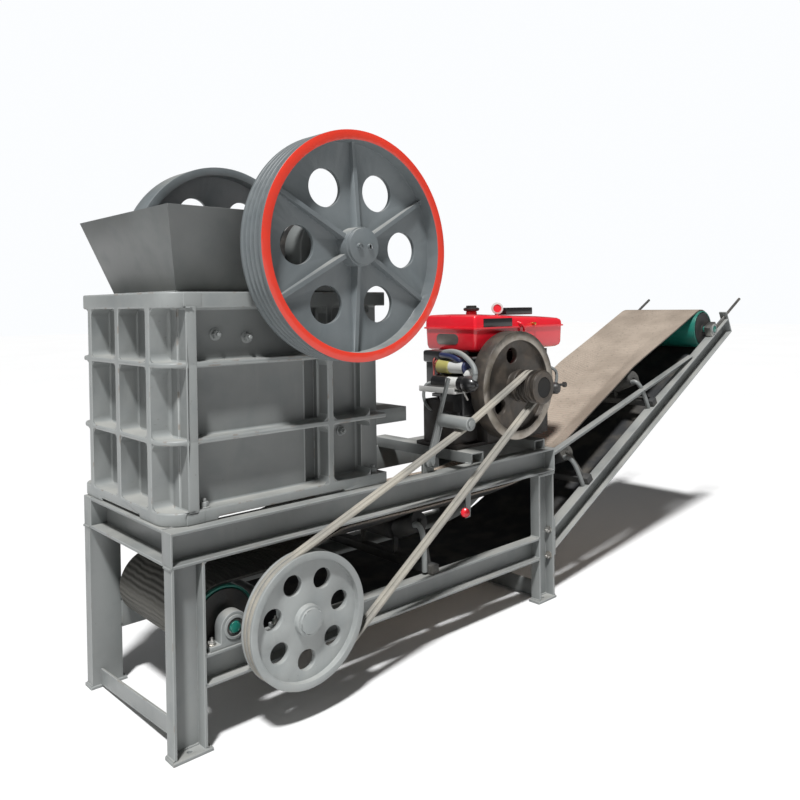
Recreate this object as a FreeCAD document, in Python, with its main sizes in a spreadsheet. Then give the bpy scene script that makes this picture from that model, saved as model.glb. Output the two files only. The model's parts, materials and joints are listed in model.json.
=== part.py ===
"""Small diesel jaw crusher line: crusher, engine, belt drive and discharge conveyor on one steel frame.

Every number below is in millimetres or degrees.  Pieces are drawn in the frame's own system:
x runs from the outer edge of the front foot plates towards the conveyor head, y from the frame's
middle plane towards the far side, z up from the ground.  The crusher stands a little off that
middle plane, so its pieces are drawn about the crusher's own middle plane.  Each finished piece
is then shifted so that the middle of the whole machine stands at x = 0 and y = 0.
"""
import FreeCAD, Part
import os
import re

V = FreeCAD.Vector
doc = FreeCAD.newDocument("crusher_line")
dims = doc.addObject("Spreadsheet::Sheet", "dims")

SIZES = [
    # frame
    ("frame_half", "333"),        # middle plane to the flange tips of the side channels
    ("frame_top", "663"),
    ("rail_h", "104"),
    ("rail_flange", "60"),
    ("rail_start", "6"),
    ("rail_end", "1790"),
    ("web_t", "6"),
    ("flange_t", "9"),
    ("leg_w", "104"),
    ("leg_flange", "48"),
    ("front_leg_x", "6"),
    ("rear_leg_in", "10"),
    ("rear_leg_x", "=rail_end - leg_w - rear_leg_in"),
    ("foot_l", "124"),
    ("foot_w", "58"),
    ("foot_t", "10"),
    ("foot_ahead", "16"),         # foot plate in front of the rear leg
    ("foot_pitch", "=rear_leg_x - foot_ahead"),
    ("foot_bolt", "16"),
    ("low_rail_z", "187"),
    ("low_rail_h", "98"),
    ("tie_t", "8"),
    ("tie_h", "55"),
    ("tie_rise", "43"),
    ("tie_in", "28"),             # leg edge to the ground ties
    ("rear_tie_h", "70"),
    ("mid_beam_x", "790"),
    ("bearer_front_x", "1279"),
    ("bearer_pitch", "401"),
    ("bearer_w", "71"),
    ("bearer_h", "43"),
    # crusher
    ("crusher_offset", "48"),     # frame middle plane to crusher middle plane
    ("body_over", "12"),          # how far the body is wider than the frame
    ("body_half", "=frame_half + body_over"),
    ("body_front", "14.5"),
    ("body_rear", "845"),
    ("body_top", "1351"),
    ("corner_r", "80"),
    ("top_flange_t", "48"),
    ("foot_flange_t", "30"),
    ("pad_t", "10"),
    ("rib_t", "24"),
    ("front_rib_t", "29"),
    ("front_rib_in", "117"),
    ("front_rib_pitch", "=body_half - front_rib_in"),
    ("shelf_t", "15"),
    ("shelf_low_z", "900"),
    ("shelf_high_z", "1128"),
    ("front_wall_x", "78"),
    ("side_wall_x", "104"),
    ("recess_deep", "83"),
    ("panel_deep", "55"),
    ("wall_t", "47"),
    ("wall_outer", "=body_half - recess_deep"),
    ("panel_outer", "=body_half - panel_deep"),
    ("wall_inner", "=wall_outer - wall_t"),
    ("panel_end", "530"),
    ("rear_strip_x", "770"),
    ("rib_x", "586"),
    ("jaw_gap", "30"),
    ("jaw_half", "=wall_inner - jaw_gap"),
    ("jaw_t", "46"),
    ("jaw_low_z", "740"),
    ("swing_lean", "15"),
    ("swing_low_x", "238"),
    ("swing_t", "110"),
    ("swing_len", "620"),
    ("shaft_x", "616"),
    ("shaft_z", "1495"),
    ("shaft_r", "42"),
    ("shaft_over", "10"),
    ("shaft_end", "=wheel_face + shaft_over"),
    ("running_gap", "0.05"),
    ("head_r", "112"),
    ("housing_r", "118"),
    ("housing_w", "96"),
    ("wheel_r", "376"),
    ("wheel_rim", "32"),
    ("wheel_w", "120"),
    ("wheel_gap", "39"),          # body side to wheel
    ("wheel_face", "=body_half + wheel_gap + wheel_w"),
    ("wheel_web_t", "16"),
    ("wheel_web_in", "52"),
    ("wheel_hole_r", "62"),
    ("wheel_hole_at", "216"),
    ("wheel_rib_t", "15"),
    ("wheel_rib_in", "14"),       # wheel face to the rib's top at the hub
    ("wheel_rib_low", "14"),      # height of the rib at the rim
    ("vee_pitch", "24"),
    ("vee_w", "15"),
    ("vee_deep", "12"),
    ("vee_slope", "4.5"),         # width of one leaning side of a groove
    ("vee_first", "20"),
    ("hub_r", "64"),
    ("hopper_top_z", "1605"),
    ("hopper_low_x", "105"),
    ("hopper_low_end", "400"),
    ("hopper_seat", "20"),
    ("hopper_low_half", "=wall_inner + hopper_seat"),
    ("hopper_top_x", "31"),
    ("hopper_top_end", "452"),
    ("hopper_flare", "110"),
    ("hopper_top_half", "=hopper_low_half + hopper_flare"),
    ("hopper_t", "5"),
    ("seat_in", "15"),
    ("seat_half", "=wall_inner - seat_in"),
    ("seat_end", "1072"),
    ("seat_z", "848"),
    ("seat_h", "56"),
    ("rear_wall_t", "50"),
    ("rear_wall_top", "985"),
    ("toggle_z", "815"),
    ("toggle_t", "34"),
    ("rod_z", "742"),
    ("rod_r", "13"),
    ("spring_r", "37"),
    ("spring_len", "120"),
    # engine
    ("engine_in", "161"),
    ("engine_x", "=bearer_front_x + engine_in"),
    ("engine_l", "410"),
    ("engine_near", "250"),
    ("engine_w", "300"),
    ("engine_base_z", "722"),
    ("engine_top", "1100"),
    ("crank_in", "105"),
    ("crank_x", "=engine_x + crank_in"),
    ("crank_z", "960"),
    ("crank_r", "25"),
    ("ewheel_r", "227.5"),
    ("ewheel_out", "7"),
    ("ewheel_face", "=frame_half + ewheel_out"),
    ("ewheel_w", "70"),
    ("ewheel_hole_r", "34"),
    ("tank_ahead", "59"),
    ("tank_x", "=engine_x - tank_ahead"),
    ("tank_l", "599"),
    ("tank_near", "240"),
    ("tank_w", "300"),
    ("tank_h", "167"),
    ("tank_lip_z", "1199"),
    ("tank_lip", "7"),
    # belt drive
    ("belt_out", "77"),           # frame side to the outer belt
    ("belt_one_y", "=frame_half + belt_out"),
    ("belt_pitch", "20"),
    ("belt_w", "17"),
    ("belt_h", "11"),
    ("groove_gap", "0.4"),
    ("small_r", "62"),            # pitch radius of the engine pulley
    ("pulley_lip", "7.5"),
    ("small_end", "=belt_one_y + 2 * belt_pitch + belt_w / 2 + pulley_lip"),
    ("large_r", "205"),           # pitch radius of the driven pulley
    ("large_lip", "6"),
    ("large_rim_r", "=large_r + large_lip"),
    ("large_x", "412.5"),
    ("large_z", "325"),
    ("large_w", "60"),
    ("large_face", "=belt_one_y - belt_pitch / 2 + large_w / 2"),
    ("large_hole_r", "33"),
    ("large_hole_at", "128"),
    ("counter_r", "20"),
    ("roller_x", "1119"),
    ("roller_z", "858"),
    ("roller_r", "25"),
    ("roller_len", "158"),
    ("pivot_x", "1062"),
    ("pivot_z", "704"),
    # conveyor
    ("slope", "27.4"),
    ("bend_in", "13.2"),
    ("tail_x", "205"),
    ("tail_z", "340"),
    ("incline_len", "1738.4"),    # from the bend to the head drum
    ("drum_r", "107"),
    ("drum_gap", "23"),
    ("drum_half", "=frame_half - leg_flange - drum_gap"),
    ("belt_in", "12"),
    ("belt_half", "=drum_half - belt_in"),
    ("belt_flat", "100"),
    ("strip_t", "8"),
    ("wing_tilt", "25"),
    ("wing_w", "=belt_half - belt_flat"),
    ("flat_trough_start", "450"),
    ("bend_flat", "186.8"),
    ("flat_trough_end", "=bend_x - bend_flat"),
    ("incline_trough_start", "170"),
    ("head_flat", "408.4"),
    ("incline_trough_end", "=incline_len - head_flat"),
    ("drum_shaft_r", "17.5"),
    ("pillow_r", "38"),
    ("side_h", "90"),
    ("side_drop", "30"),
    ("side_over", "188"),
    ("screw_r", "8"),
    ("screw_over", "228"),
    ("screw_drop", "18"),
    ("brace_z", "619"),
    ("brace_short", "278.4"),
    ("brace_top_s", "=incline_len - brace_short"),
    ("brace_w", "32"),
    ("idler_r", "38"),
    ("arm_foot_in", "44"),        # frame side to the foot of a roller bracket
    ("idler_gap", "0.3"),
    ("flat_idler_x", "1050"),
    ("idler_low_s", "319"),
    ("idler_high_s", "983"),
    # worked out from the numbers above
    ("bend_x", "=rail_end - bend_in"),
    ("head_x", "=bend_x + incline_len * cos(slope * 1deg)"),
    ("head_z", "=tail_z + incline_len * sin(slope * 1deg)"),
    ("half_tan", "=tan(slope * 0.5deg)"),
    ("rail_top_len", "=incline_len + side_over"),
    ("screw_end_s", "=incline_len + side_over + screw_over"),
    ("total_x", "=bend_x + screw_end_s * cos(slope * 1deg) + (screw_drop + screw_r) * sin(slope * 1deg)"),
    ("shift_x", "=-total_x / 2"),
    ("shift_frame_y", "=-crusher_offset"),
    ("shift_crusher_y", "=0 * crusher_offset"),
    ("reach_dx", "=roller_x - large_x"),
    ("reach_dz", "=roller_z - large_z"),
    ("reach", "=sqrt(reach_dx ^ 2 + reach_dz ^ 2)"),
    ("wrap_r", "=roller_r + belt_h / 2 + groove_gap"),
    ("run_a_deg", "=(atan(reach_dz / reach_dx) - asin((large_r + wrap_r) / reach)) / 1deg"),
    ("run_a_len", "=sqrt(reach ^ 2 - (large_r + wrap_r) ^ 2)"),
    ("back_dx", "=crank_x - roller_x"),
    ("back_dz", "=crank_z - roller_z"),
    ("back_reach", "=sqrt(back_dx ^ 2 + back_dz ^ 2)"),
    ("run_b_deg", "=(atan(back_dz / back_dx) + asin((small_r + wrap_r) / back_reach)) / 1deg"),
    ("run_b_len", "=sqrt(back_reach ^ 2 - (small_r + wrap_r) ^ 2)"),
    ("full_dx", "=crank_x - large_x"),
    ("full_dz", "=crank_z - large_z"),
    ("full_reach", "=sqrt(full_dx ^ 2 + full_dz ^ 2)"),
    ("run_c_deg", "=(atan(full_dz / full_dx) + asin((large_r - small_r) / full_reach)) / 1deg"),
    ("run_c_len", "=sqrt(full_reach ^ 2 - (large_r - small_r) ^ 2)"),
    ("arm_deg", "=atan((roller_x - pivot_x) / (roller_z - pivot_z)) / 1deg"),
    ("arm_len", "=sqrt((roller_x - pivot_x) ^ 2 + (roller_z - pivot_z) ^ 2)"),
    ("arm_foot_y", "=frame_half - arm_foot_in"),
    ("wing_end_y", "=belt_flat + (wing_w - 2) * cos(wing_tilt * 1deg) + idler_r * sin(wing_tilt * 1deg)"),
    ("wing_end_z", "=drum_r + (wing_w - 2) * sin(wing_tilt * 1deg) - idler_r * cos(wing_tilt * 1deg)"),
    ("brace_x", "=bend_x + brace_top_s * cos(slope * 1deg) + side_drop * sin(slope * 1deg)"),
    ("brace_rise", "=tail_z + brace_top_s * sin(slope * 1deg) - side_drop * cos(slope * 1deg) - brace_z"),
    ("brace_deg", "=atan(brace_rise / (brace_x - rail_end)) / 1deg"),
    ("brace_len", "=sqrt(brace_rise ^ 2 + (brace_x - rail_end) ^ 2)"),
]

for number, (word, value) in enumerate(SIZES, start=1):
    dims.set("A%d" % number, word)
    dims.set("B%d" % number, value)
    dims.setAlias("B%d" % number, word)
doc.recompute()

WORDS = {word for word, value in SIZES}
NODES = []


# ---------------------------------------------------------------- drawing helpers
def ex(text):
    """Turn the plain words of a formula into references to the sheet."""
    def named(hit):
        word = hit.group(0)
        return "dims." + word if word in WORDS else word
    return re.sub(r"[a-z_][a-z_0-9]*", named, text)


def bind(thing, prop, text):
    thing.setExpression(prop, ex(str(text)))


def put(thing, at, turn=None):
    """Place a thing at three formulas, turned about one axis by a formula in degrees."""
    if turn is not None:
        axis, angle = turn
        thing.Placement = FreeCAD.Placement(V(), FreeCAD.Rotation(V(*axis), 10))
        bind(thing, "Placement.Rotation.Angle", "(%s) * 1deg" % angle)
    for letter, text in zip("xyz", at):
        bind(thing, "Placement.Base." + letter, text)
    return thing


def box(size, at, turn=None):
    thing = doc.addObject("Part::Box", "block")
    for prop, text in zip(("Length", "Width", "Height"), size):
        bind(thing, prop, text)
    return put(thing, at, turn)


def span(xs, ys, zs):
    """Box between two formulas along each axis."""
    size = ["(%s) - (%s)" % (b, a) for a, b in (xs, ys, zs)]
    return box(size, [xs[0], ys[0], zs[0]])


def rod(radius, length, at, along="y"):
    thing = doc.addObject("Part::Cylinder", "round")
    bind(thing, "Radius", radius)
    bind(thing, "Height", length)
    if along == "y":
        thing.Placement = FreeCAD.Placement(V(), FreeCAD.Rotation(V(1, 0, 0), -90))
    if along == "x":
        thing.Placement = FreeCAD.Placement(V(), FreeCAD.Rotation(V(0, 1, 0), 90))
    return put(thing, at)


def cone(first, last, length, at):
    """Round piece along y whose radius goes from first to last."""
    thing = doc.addObject("Part::Cone", "taper")
    bind(thing, "Radius1", first)
    bind(thing, "Radius2", last)
    bind(thing, "Height", length)
    thing.Placement = FreeCAD.Placement(V(), FreeCAD.Rotation(V(1, 0, 0), -90))
    return put(thing, at)


def fuse(things):
    if len(things) == 1:
        return things[0]
    thing = doc.addObject("Part::MultiFuse", "joined")
    thing.Shapes = things
    return thing


def cut(base, tools):
    thing = doc.addObject("Part::Cut", "cut")
    thing.Base = base
    thing.Tool = fuse(tools)
    return thing


def ring(outer, inner, length, at, along="y"):
    low = list(at)
    place = "xyz".index(along)
    low[place] = "(%s) - 1" % at[place]
    return cut(rod(outer, length, at, along), [rod(inner, "(%s) + 2" % length, low, along)])


def group(things, at=("0", "0", "0"), turn=None):
    """Joined things placed together."""
    thing = doc.addObject("Part::Compound", "group")
    thing.Links = things
    return put(thing, at, turn)


def node(name, things, middle="shift_frame_y"):
    """Finished piece under its own name, shifted into the machine's common position."""
    thing = doc.addObject("Part::Compound", name)
    thing.Links = things
    thing.Label = name
    put(thing, ("shift_x", middle, "0"))
    NODES.append(thing)
    return thing


def side(near, inner, outer):
    """Formulas for a strip between two distances from the middle plane, near or far side."""
    if near:
        return ("-(%s)" % outer, "-(%s)" % inner)
    return (inner, outer)


def sides():
    return (("near", True), ("far", False))


# ---------------------------------------------------------------- frame
def channel_x(near, xs, z_low, height, flange):
    """Channel lying along x, open towards the outside."""
    tips = side(near, "frame_half - %s" % flange, "frame_half")
    web = side(near, "frame_half - %s" % flange, "frame_half - %s + web_t" % flange)
    return [
        span(xs, web, (z_low, "%s + %s" % (z_low, height))),
        span(xs, tips, (z_low, "%s + flange_t" % z_low)),
        span(xs, tips, ("%s + %s - flange_t" % (z_low, height), "%s + %s" % (z_low, height))),
    ]


def top_rails():
    for name, near in sides():
        xs = ("rail_start", "rail_end")
        bars = channel_x(near, xs, "(frame_top - rail_h)", "rail_h", "rail_flange")
        tips = side(near, "frame_half - rail_flange", "frame_half")
        zs = ("frame_top - rail_h", "frame_top")
        bars.append(span(("rail_start", "rail_start + web_t"), tips, zs))
        bars.append(span(("rail_end - web_t", "rail_end"), tips, zs))
        node(name + "_top_rail", [fuse(bars)])


def cross_beams():
    inner = ("-(frame_half - rail_flange)", "frame_half - rail_flange")
    zs = ("frame_top - rail_h", "frame_top")
    low = ("frame_top - rail_h", "frame_top - rail_h + flange_t")
    high = ("frame_top - flange_t", "frame_top")
    for name, start, web_first in (("front", "rail_start", False), ("middle", "mid_beam_x", True),
                                   ("rear", "rail_end - rail_flange", True)):
        xs = (start, "%s + rail_flange" % start)
        web = (start, "%s + web_t" % start)
        if not web_first:
            web = ("%s + rail_flange - web_t" % start, "%s + rail_flange" % start)
        bars = [span(web, inner, zs), span(xs, inner, low), span(xs, inner, high)]
        node(name + "_cross_beam", [fuse(bars)])


def engine_bearers():
    bars = []
    ys = ("-(frame_half - 25)", "frame_half - 25")
    for start in ("bearer_front_x", "(bearer_front_x + bearer_pitch)"):
        top = span((start, "%s + bearer_w" % start), ys, ("frame_top + bearer_h - web_t", "frame_top + bearer_h"))
        zs = ("frame_top", "frame_top + bearer_h")
        left = span((start, "%s + web_t" % start), ys, zs)
        right = span(("%s + bearer_w - web_t" % start, "%s + bearer_w" % start), ys, zs)
        bars.append(fuse([top, left, right]))
    node("engine_bearers", bars)


def legs():
    for name, near in sides():
        for place, leg_x, foot_x in (("front", "front_leg_x", "0"), ("rear", "rear_leg_x", "foot_pitch")):
            zs = ("foot_t", "frame_top - rail_h")
            tips = side(near, "frame_half - leg_flange", "frame_half")
            web = side(near, "frame_half - leg_flange", "frame_half - leg_flange + web_t")
            bars = [
                span((leg_x, "%s + leg_w" % leg_x), web, zs),
                span((leg_x, "%s + flange_t" % leg_x), tips, zs),
                span(("%s + leg_w - flange_t" % leg_x, "%s + leg_w" % leg_x), tips, zs),
            ]
            foot_y = side(near, "frame_half + 7 - foot_w", "frame_half + 7")
            bars.append(span((foot_x, "%s + foot_l" % foot_x), foot_y, ("0", "foot_t")))
            if place == "rear":
                cap_y = side(near, "frame_half - leg_flange - 3", "frame_half + 3")
                cap_z = ("frame_top - rail_h - foot_t", "frame_top - rail_h")
                bars.append(span(("%s - 4" % leg_x, "%s + leg_w + 4" % leg_x), cap_y, cap_z))
            sign = "-" if near else ""
            hole_y = "%s(frame_half + 7 - foot_w / 2)" % sign
            hole = rod("foot_bolt / 2", "foot_t + 2", ("%s + foot_l / 2" % foot_x, hole_y, "-1"), "z")
            node("%s_%s_leg" % (name, place), [cut(fuse(bars), [hole])])


def lower_rails():
    for name, near in sides():
        xs = ("front_leg_x + leg_w", "rear_leg_x")
        node(name + "_lower_rail", [fuse(channel_x(near, xs, "low_rail_z", "low_rail_h", "leg_flange"))])


def ground_tie():
    """Flat bar between the front legs, a little higher at its near end."""
    bar = doc.addObject("Part::Wedge", "bar")
    values = {
        "Xmin": "front_leg_x + tie_in", "Xmax": "front_leg_x + tie_in + tie_t",
        "X2min": "front_leg_x + tie_in", "X2max": "front_leg_x + tie_in + tie_t",
        "Ymin": "-(frame_half - leg_flange)", "Ymax": "frame_half - leg_flange",
        "Zmin": "tie_rise", "Zmax": "tie_rise + tie_h", "Z2min": "foot_t", "Z2max": "foot_t + tie_h",
    }
    for prop, text in values.items():
        bind(bar, prop, text)
    node("ground_tie", [bar])


def rear_ground_tie():
    """Angle bar on edge between the rear legs."""
    ys = ("-(frame_half - leg_flange)", "frame_half - leg_flange")
    upright = span(("rear_leg_x + tie_in", "rear_leg_x + tie_in + tie_t"), ys, ("foot_t", "foot_t + rear_tie_h"))
    shelf = span(("rear_leg_x + tie_in", "rear_leg_x + tie_in + rear_tie_h / 2"), ys, ("foot_t", "foot_t + tie_t"))
    node("rear_ground_tie", [fuse([upright, shelf])])


# ---------------------------------------------------------------- crusher body
def rounded_shelf(zs, front="body_front"):
    """Plate across the front with both outer corners rounded."""
    height = "(%s) - (%s)" % (zs[1], zs[0])
    half = "body_half"
    things = [
        span((front, "side_wall_x"), ("-(%s - corner_r)" % half, "%s - corner_r" % half), zs),
        span(("body_front + corner_r", "side_wall_x"), ("-" + half, half), zs),
    ]
    for sign in ("-", ""):
        middle = ("body_front + corner_r", "%s(%s - corner_r)" % (sign, half), zs[0])
        things.append(rod("corner_r", height, middle, "z"))
    keep = span((front, "side_wall_x"), ("-" + half, half), zs)
    both = doc.addObject("Part::MultiCommon", "kept")
    both.Shapes = [fuse(things), keep]
    return both


def front_wall():
    base_z = "frame_top + pad_t"
    foot_top = "frame_top + pad_t + foot_flange_t"
    flange_low = "body_top - top_flange_t"
    parts = [
        span(("front_wall_x", "side_wall_x"), ("-panel_outer", "panel_outer"), (base_z, "body_top")),
        rounded_shelf((base_z, foot_top)),
        rounded_shelf((flange_low, "body_top")),
        rounded_shelf(("shelf_low_z", "shelf_low_z + shelf_t")),
        rounded_shelf(("shelf_high_z", "shelf_high_z + shelf_t")),
    ]
    for step in (-1, 0, 1):
        ys = ("%d * front_rib_pitch - front_rib_t / 2" % step, "%d * front_rib_pitch + front_rib_t / 2" % step)
        parts.append(span(("body_front", "front_wall_x"), ys, (foot_top, flange_low)))
    for name, near in sides():
        ys = side(near, "panel_outer", "body_half")
        parts.append(span(("side_wall_x - 20", "side_wall_x"), ys, (foot_top, flange_low)))
    whole = fuse(parts)
    pads = rounded_shelf(("frame_top", base_z))
    middle = span(("body_front - 1", "side_wall_x + 1"), ("-148", "148"), ("frame_top - 1", base_z))
    node("front_wall", [fuse([whole, cut(pads, [middle])])], "shift_crusher_y")


def side_walls():
    base_z = "frame_top + pad_t"
    foot_top = "frame_top + pad_t + foot_flange_t"
    flange_low = "body_top - top_flange_t"
    xs = ("side_wall_x", "body_rear")
    for name, near in sides():
        wide = side(near, "wall_inner", "body_half")
        outer = side(near, "wall_outer", "body_half")
        parts = [
            span(xs, side(near, "wall_inner", "wall_outer"), (base_z, "body_top")),
            span(("side_wall_x", "panel_end"), side(near, "wall_outer", "panel_outer"), (base_z, "body_top")),
            span(("rear_strip_x", "body_rear"), side(near, "wall_outer", "panel_outer"), (base_z, "body_top")),
            span(xs, wide, (base_z, foot_top)),
            span(xs, wide, (flange_low, "body_top")),
            span(xs, outer, ("shelf_low_z", "shelf_low_z + shelf_t")),
            span(xs, outer, ("shelf_high_z", "shelf_high_z + shelf_t")),
            span(("rib_x", "rib_x + rib_t"), outer, (foot_top, flange_low)),
        ]
        for start, end in (("side_wall_x", "176"), ("651", "body_rear")):
            parts.append(span((start, end), wide, ("frame_top", base_z)))
        node(name + "_side_wall", [fuse(parts)], "shift_crusher_y")


def rear_wall():
    ys = ("-wall_inner", "wall_inner")
    zs = ("frame_top + pad_t", "rear_wall_top")
    plate = span(("body_rear - rear_wall_t", "body_rear"), ys, zs)
    seat_y = ("-seat_half", "seat_half")
    seat = span(("body_rear - 1", "seat_end"), seat_y, ("seat_z", "seat_z + seat_h"))
    hole = rod("rod_r + 6", "rear_wall_t + 4", ("body_rear - rear_wall_t - 2", "0", "rod_z"), "x")
    node("rear_wall", [cut(fuse([plate, seat]), [hole])], "shift_crusher_y")


def fixed_jaw():
    """Upright jaw plate with standing teeth."""
    parts = [span(("side_wall_x", "side_wall_x + jaw_t - 12"), ("-jaw_half", "jaw_half"), ("jaw_low_z", "body_top - 10"))]
    for step in range(-4, 5):
        ys = ("%d * jaw_half / 4.75 - 9" % step, "%d * jaw_half / 4.75 + 9" % step)
        parts.append(span(("side_wall_x + jaw_t - 14", "side_wall_x + jaw_t"), ys, ("jaw_low_z", "body_top - 10")))
    node("fixed_jaw", [fuse(parts)], "shift_crusher_y")


def moving_jaw():
    """Swing jaw hung on the shaft: round head, leaning body, toothed plate in front."""
    slab_y = "-jaw_half"
    slab = box(("swing_t", "2 * jaw_half", "swing_len"), ("0", slab_y, "0"))
    teeth = [slab]
    for step in range(-4, 5):
        at = ("-12", "%d * jaw_half / 4.75 - 9" % step, "0")
        teeth.append(box(("14", "18", "swing_len - 30"), at))
    leaning = group([fuse(teeth)], ("swing_low_x", "0", "jaw_low_z"), ((0, 1, 0), "swing_lean"))
    head = rod("head_r", "2 * jaw_half", ("shaft_x", slab_y, "shaft_z"))
    neck_x = ("swing_low_x + swing_len * sin(swing_lean * 1deg) + swing_t * 0.55", "shaft_x + head_r * 0.6")
    neck = span(neck_x, ("-jaw_half", "jaw_half"), ("body_top - 45", "shaft_z - 10"))
    bore = rod("shaft_r + 8 + running_gap", "2 * jaw_half + 4", ("shaft_x", "-jaw_half - 2", "shaft_z"))
    node("moving_jaw", [cut(fuse([leaning, head, neck]), [bore])], "shift_crusher_y")


def behind_swing(z):
    """Where the back face of the swing jaw stands at one level."""
    return "(swing_low_x + swing_t / cos(swing_lean * 1deg) + (%s - jaw_low_z) * tan(swing_lean * 1deg))" % z


def toggle_plate():
    """Plate that carries the thrust from the swing jaw to the rear wall."""
    xs = ("%s + 0.2" % behind_swing("toggle_z + toggle_t"), "body_rear - rear_wall_t")
    node("toggle_plate", [span(xs, ("-jaw_half + 15", "jaw_half - 15"), ("toggle_z", "toggle_z + toggle_t"))],
         "shift_crusher_y")


def tension_rod():
    start = "%s + 0.2" % behind_swing("rod_z + rod_r")
    bar = rod("rod_r", "body_rear + spring_len + 50 - (%s)" % start, (start, "0", "rod_z"), "x")
    washer = rod("spring_r + 6", "8", ("body_rear", "0", "rod_z"), "x")
    coil = rod("spring_r", "spring_len", ("body_rear + 8", "0", "rod_z"), "x")
    last = rod("spring_r + 6", "8", ("body_rear + 8 + spring_len", "0", "rod_z"), "x")
    nut = rod("rod_r + 10", "18", ("body_rear + 16 + spring_len", "0", "rod_z"), "x")
    node("tension_rod", [fuse([bar, washer, coil, last, nut])], "shift_crusher_y")


def bearings():
    for name, near in sides():
        ys = side(near, "wall_inner + 15", "wall_inner + 15 + housing_w")
        barrel = rod("housing_r", "housing_w", ("shaft_x", ys[0], "shaft_z"))
        base = span(("shaft_x - 165", "shaft_x + 165"), ys, ("body_top", "body_top + 42"))
        body = span(("shaft_x - housing_r", "shaft_x + housing_r"), ys, ("body_top", "shaft_z"))
        bore = rod("shaft_r + running_gap", "housing_w + 4", ("shaft_x", "%s - 2" % ys[0], "shaft_z"))
        node(name + "_bearing", [cut(fuse([barrel, base, body]), [bore])], "shift_crusher_y")


def crusher_shaft():
    bar = rod("shaft_r", "2 * shaft_end", ("shaft_x", "-shaft_end", "shaft_z"))
    thick = rod("shaft_r + 8", "2 * (wall_inner - 2)", ("shaft_x", "-(wall_inner - 2)", "shaft_z"))
    node("crusher_shaft", [fuse([bar, thick])], "shift_crusher_y")


def wheel_rib(near):
    """Rib along +x from the hub, lower towards the rim."""
    web = "wheel_face - wheel_web_in"
    high = "wheel_face - wheel_rib_in"
    low = "wheel_face - wheel_web_in + wheel_rib_low"
    rib = doc.addObject("Part::Wedge", "rib")
    values = {
        "Xmin": web if near else "-(%s)" % high, "Xmax": high if near else "-(%s)" % web,
        "X2min": web if near else "-(%s)" % low, "X2max": low if near else "-(%s)" % web,
        "Ymin": "hub_r - 10", "Ymax": "wheel_r - wheel_rim + 2",
        "Zmin": "-wheel_rib_t / 2", "Zmax": "wheel_rib_t / 2",
        "Z2min": "-wheel_rib_t / 2", "Z2max": "wheel_rib_t / 2",
    }
    for prop, text in values.items():
        bind(rib, prop, text)
    rib.Placement = FreeCAD.Placement(V(), FreeCAD.Rotation(V(0, 0, 1), -90))
    return rib


def vee_groove(y):
    """Ring with leaning sides that cuts one belt groove."""
    floor_y = "%s + vee_slope" % y
    spool = [
        cone("wheel_r", "wheel_r - vee_deep", "vee_slope", ("shaft_x", y, "shaft_z")),
        rod("wheel_r - vee_deep", "vee_w - 2 * vee_slope", ("shaft_x", floor_y, "shaft_z")),
        cone("wheel_r - vee_deep", "wheel_r", "vee_slope", ("shaft_x", "%s + vee_w - vee_slope" % y, "shaft_z")),
    ]
    return cut(rod("wheel_r + 2", "vee_w", ("shaft_x", y, "shaft_z")), spool)


def wheel(near):
    """Big flywheel: rim, deep web with six holes, six ribs, hub; grooves on the near one."""
    start = "-wheel_face" if near else "wheel_face - wheel_w"
    rim = ring("wheel_r", "wheel_r - wheel_rim", "wheel_w", ("shaft_x", start, "shaft_z"))
    web_y = "-wheel_face + wheel_web_in" if near else "wheel_face - wheel_web_in - wheel_web_t"
    web = rod("wheel_r - wheel_rim + 1", "wheel_web_t", ("shaft_x", web_y, "shaft_z"))
    hub = rod("hub_r", "wheel_w", ("shaft_x", start, "shaft_z"))
    parts = [rim, web, hub]
    for step in range(6):
        parts.append(group([wheel_rib(near)], ("shaft_x", "0", "shaft_z"), ((0, 1, 0), "90 + %d * 60" % step)))
    holes = [rod("shaft_r", "wheel_w + 4", ("shaft_x", "%s - 2" % start, "shaft_z"))]
    for step in range(6):
        angle = "(%d * 60 + 60) * 1deg" % step
        at = ("shaft_x + wheel_hole_at * cos(%s)" % angle, "%s - 2" % web_y, "shaft_z + wheel_hole_at * sin(%s)" % angle)
        holes.append(rod("wheel_hole_r", "wheel_web_t + 4", at))
    if near:
        for step in range(4):
            holes.append(vee_groove("-wheel_face + vee_first + %d * vee_pitch" % step))
    cap_y = "-wheel_face - 12" if near else "wheel_face"
    cap = rod("hub_r - 4", "12", ("shaft_x", cap_y, "shaft_z"))
    bolts = []
    for sign in (-1, 1):
        bolt_y = "-wheel_face - 22" if near else "wheel_face + 12"
        bolts.append(rod("9", "10", ("shaft_x + %d * 22" % sign, bolt_y, "shaft_z")))
    seat = rod("shaft_r + 0.3", "shaft_end - wheel_face + 0.3",
               ("shaft_x", "-shaft_end - 0.3" if near else "wheel_face - 0.01", "shaft_z"))
    return [cut(fuse(parts), holes), fuse([cut(cap, [seat])] + bolts)]


def flywheels():
    for name, near in sides():
        node(name + "_flywheel", [fuse(wheel(near))], "shift_crusher_y")


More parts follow.
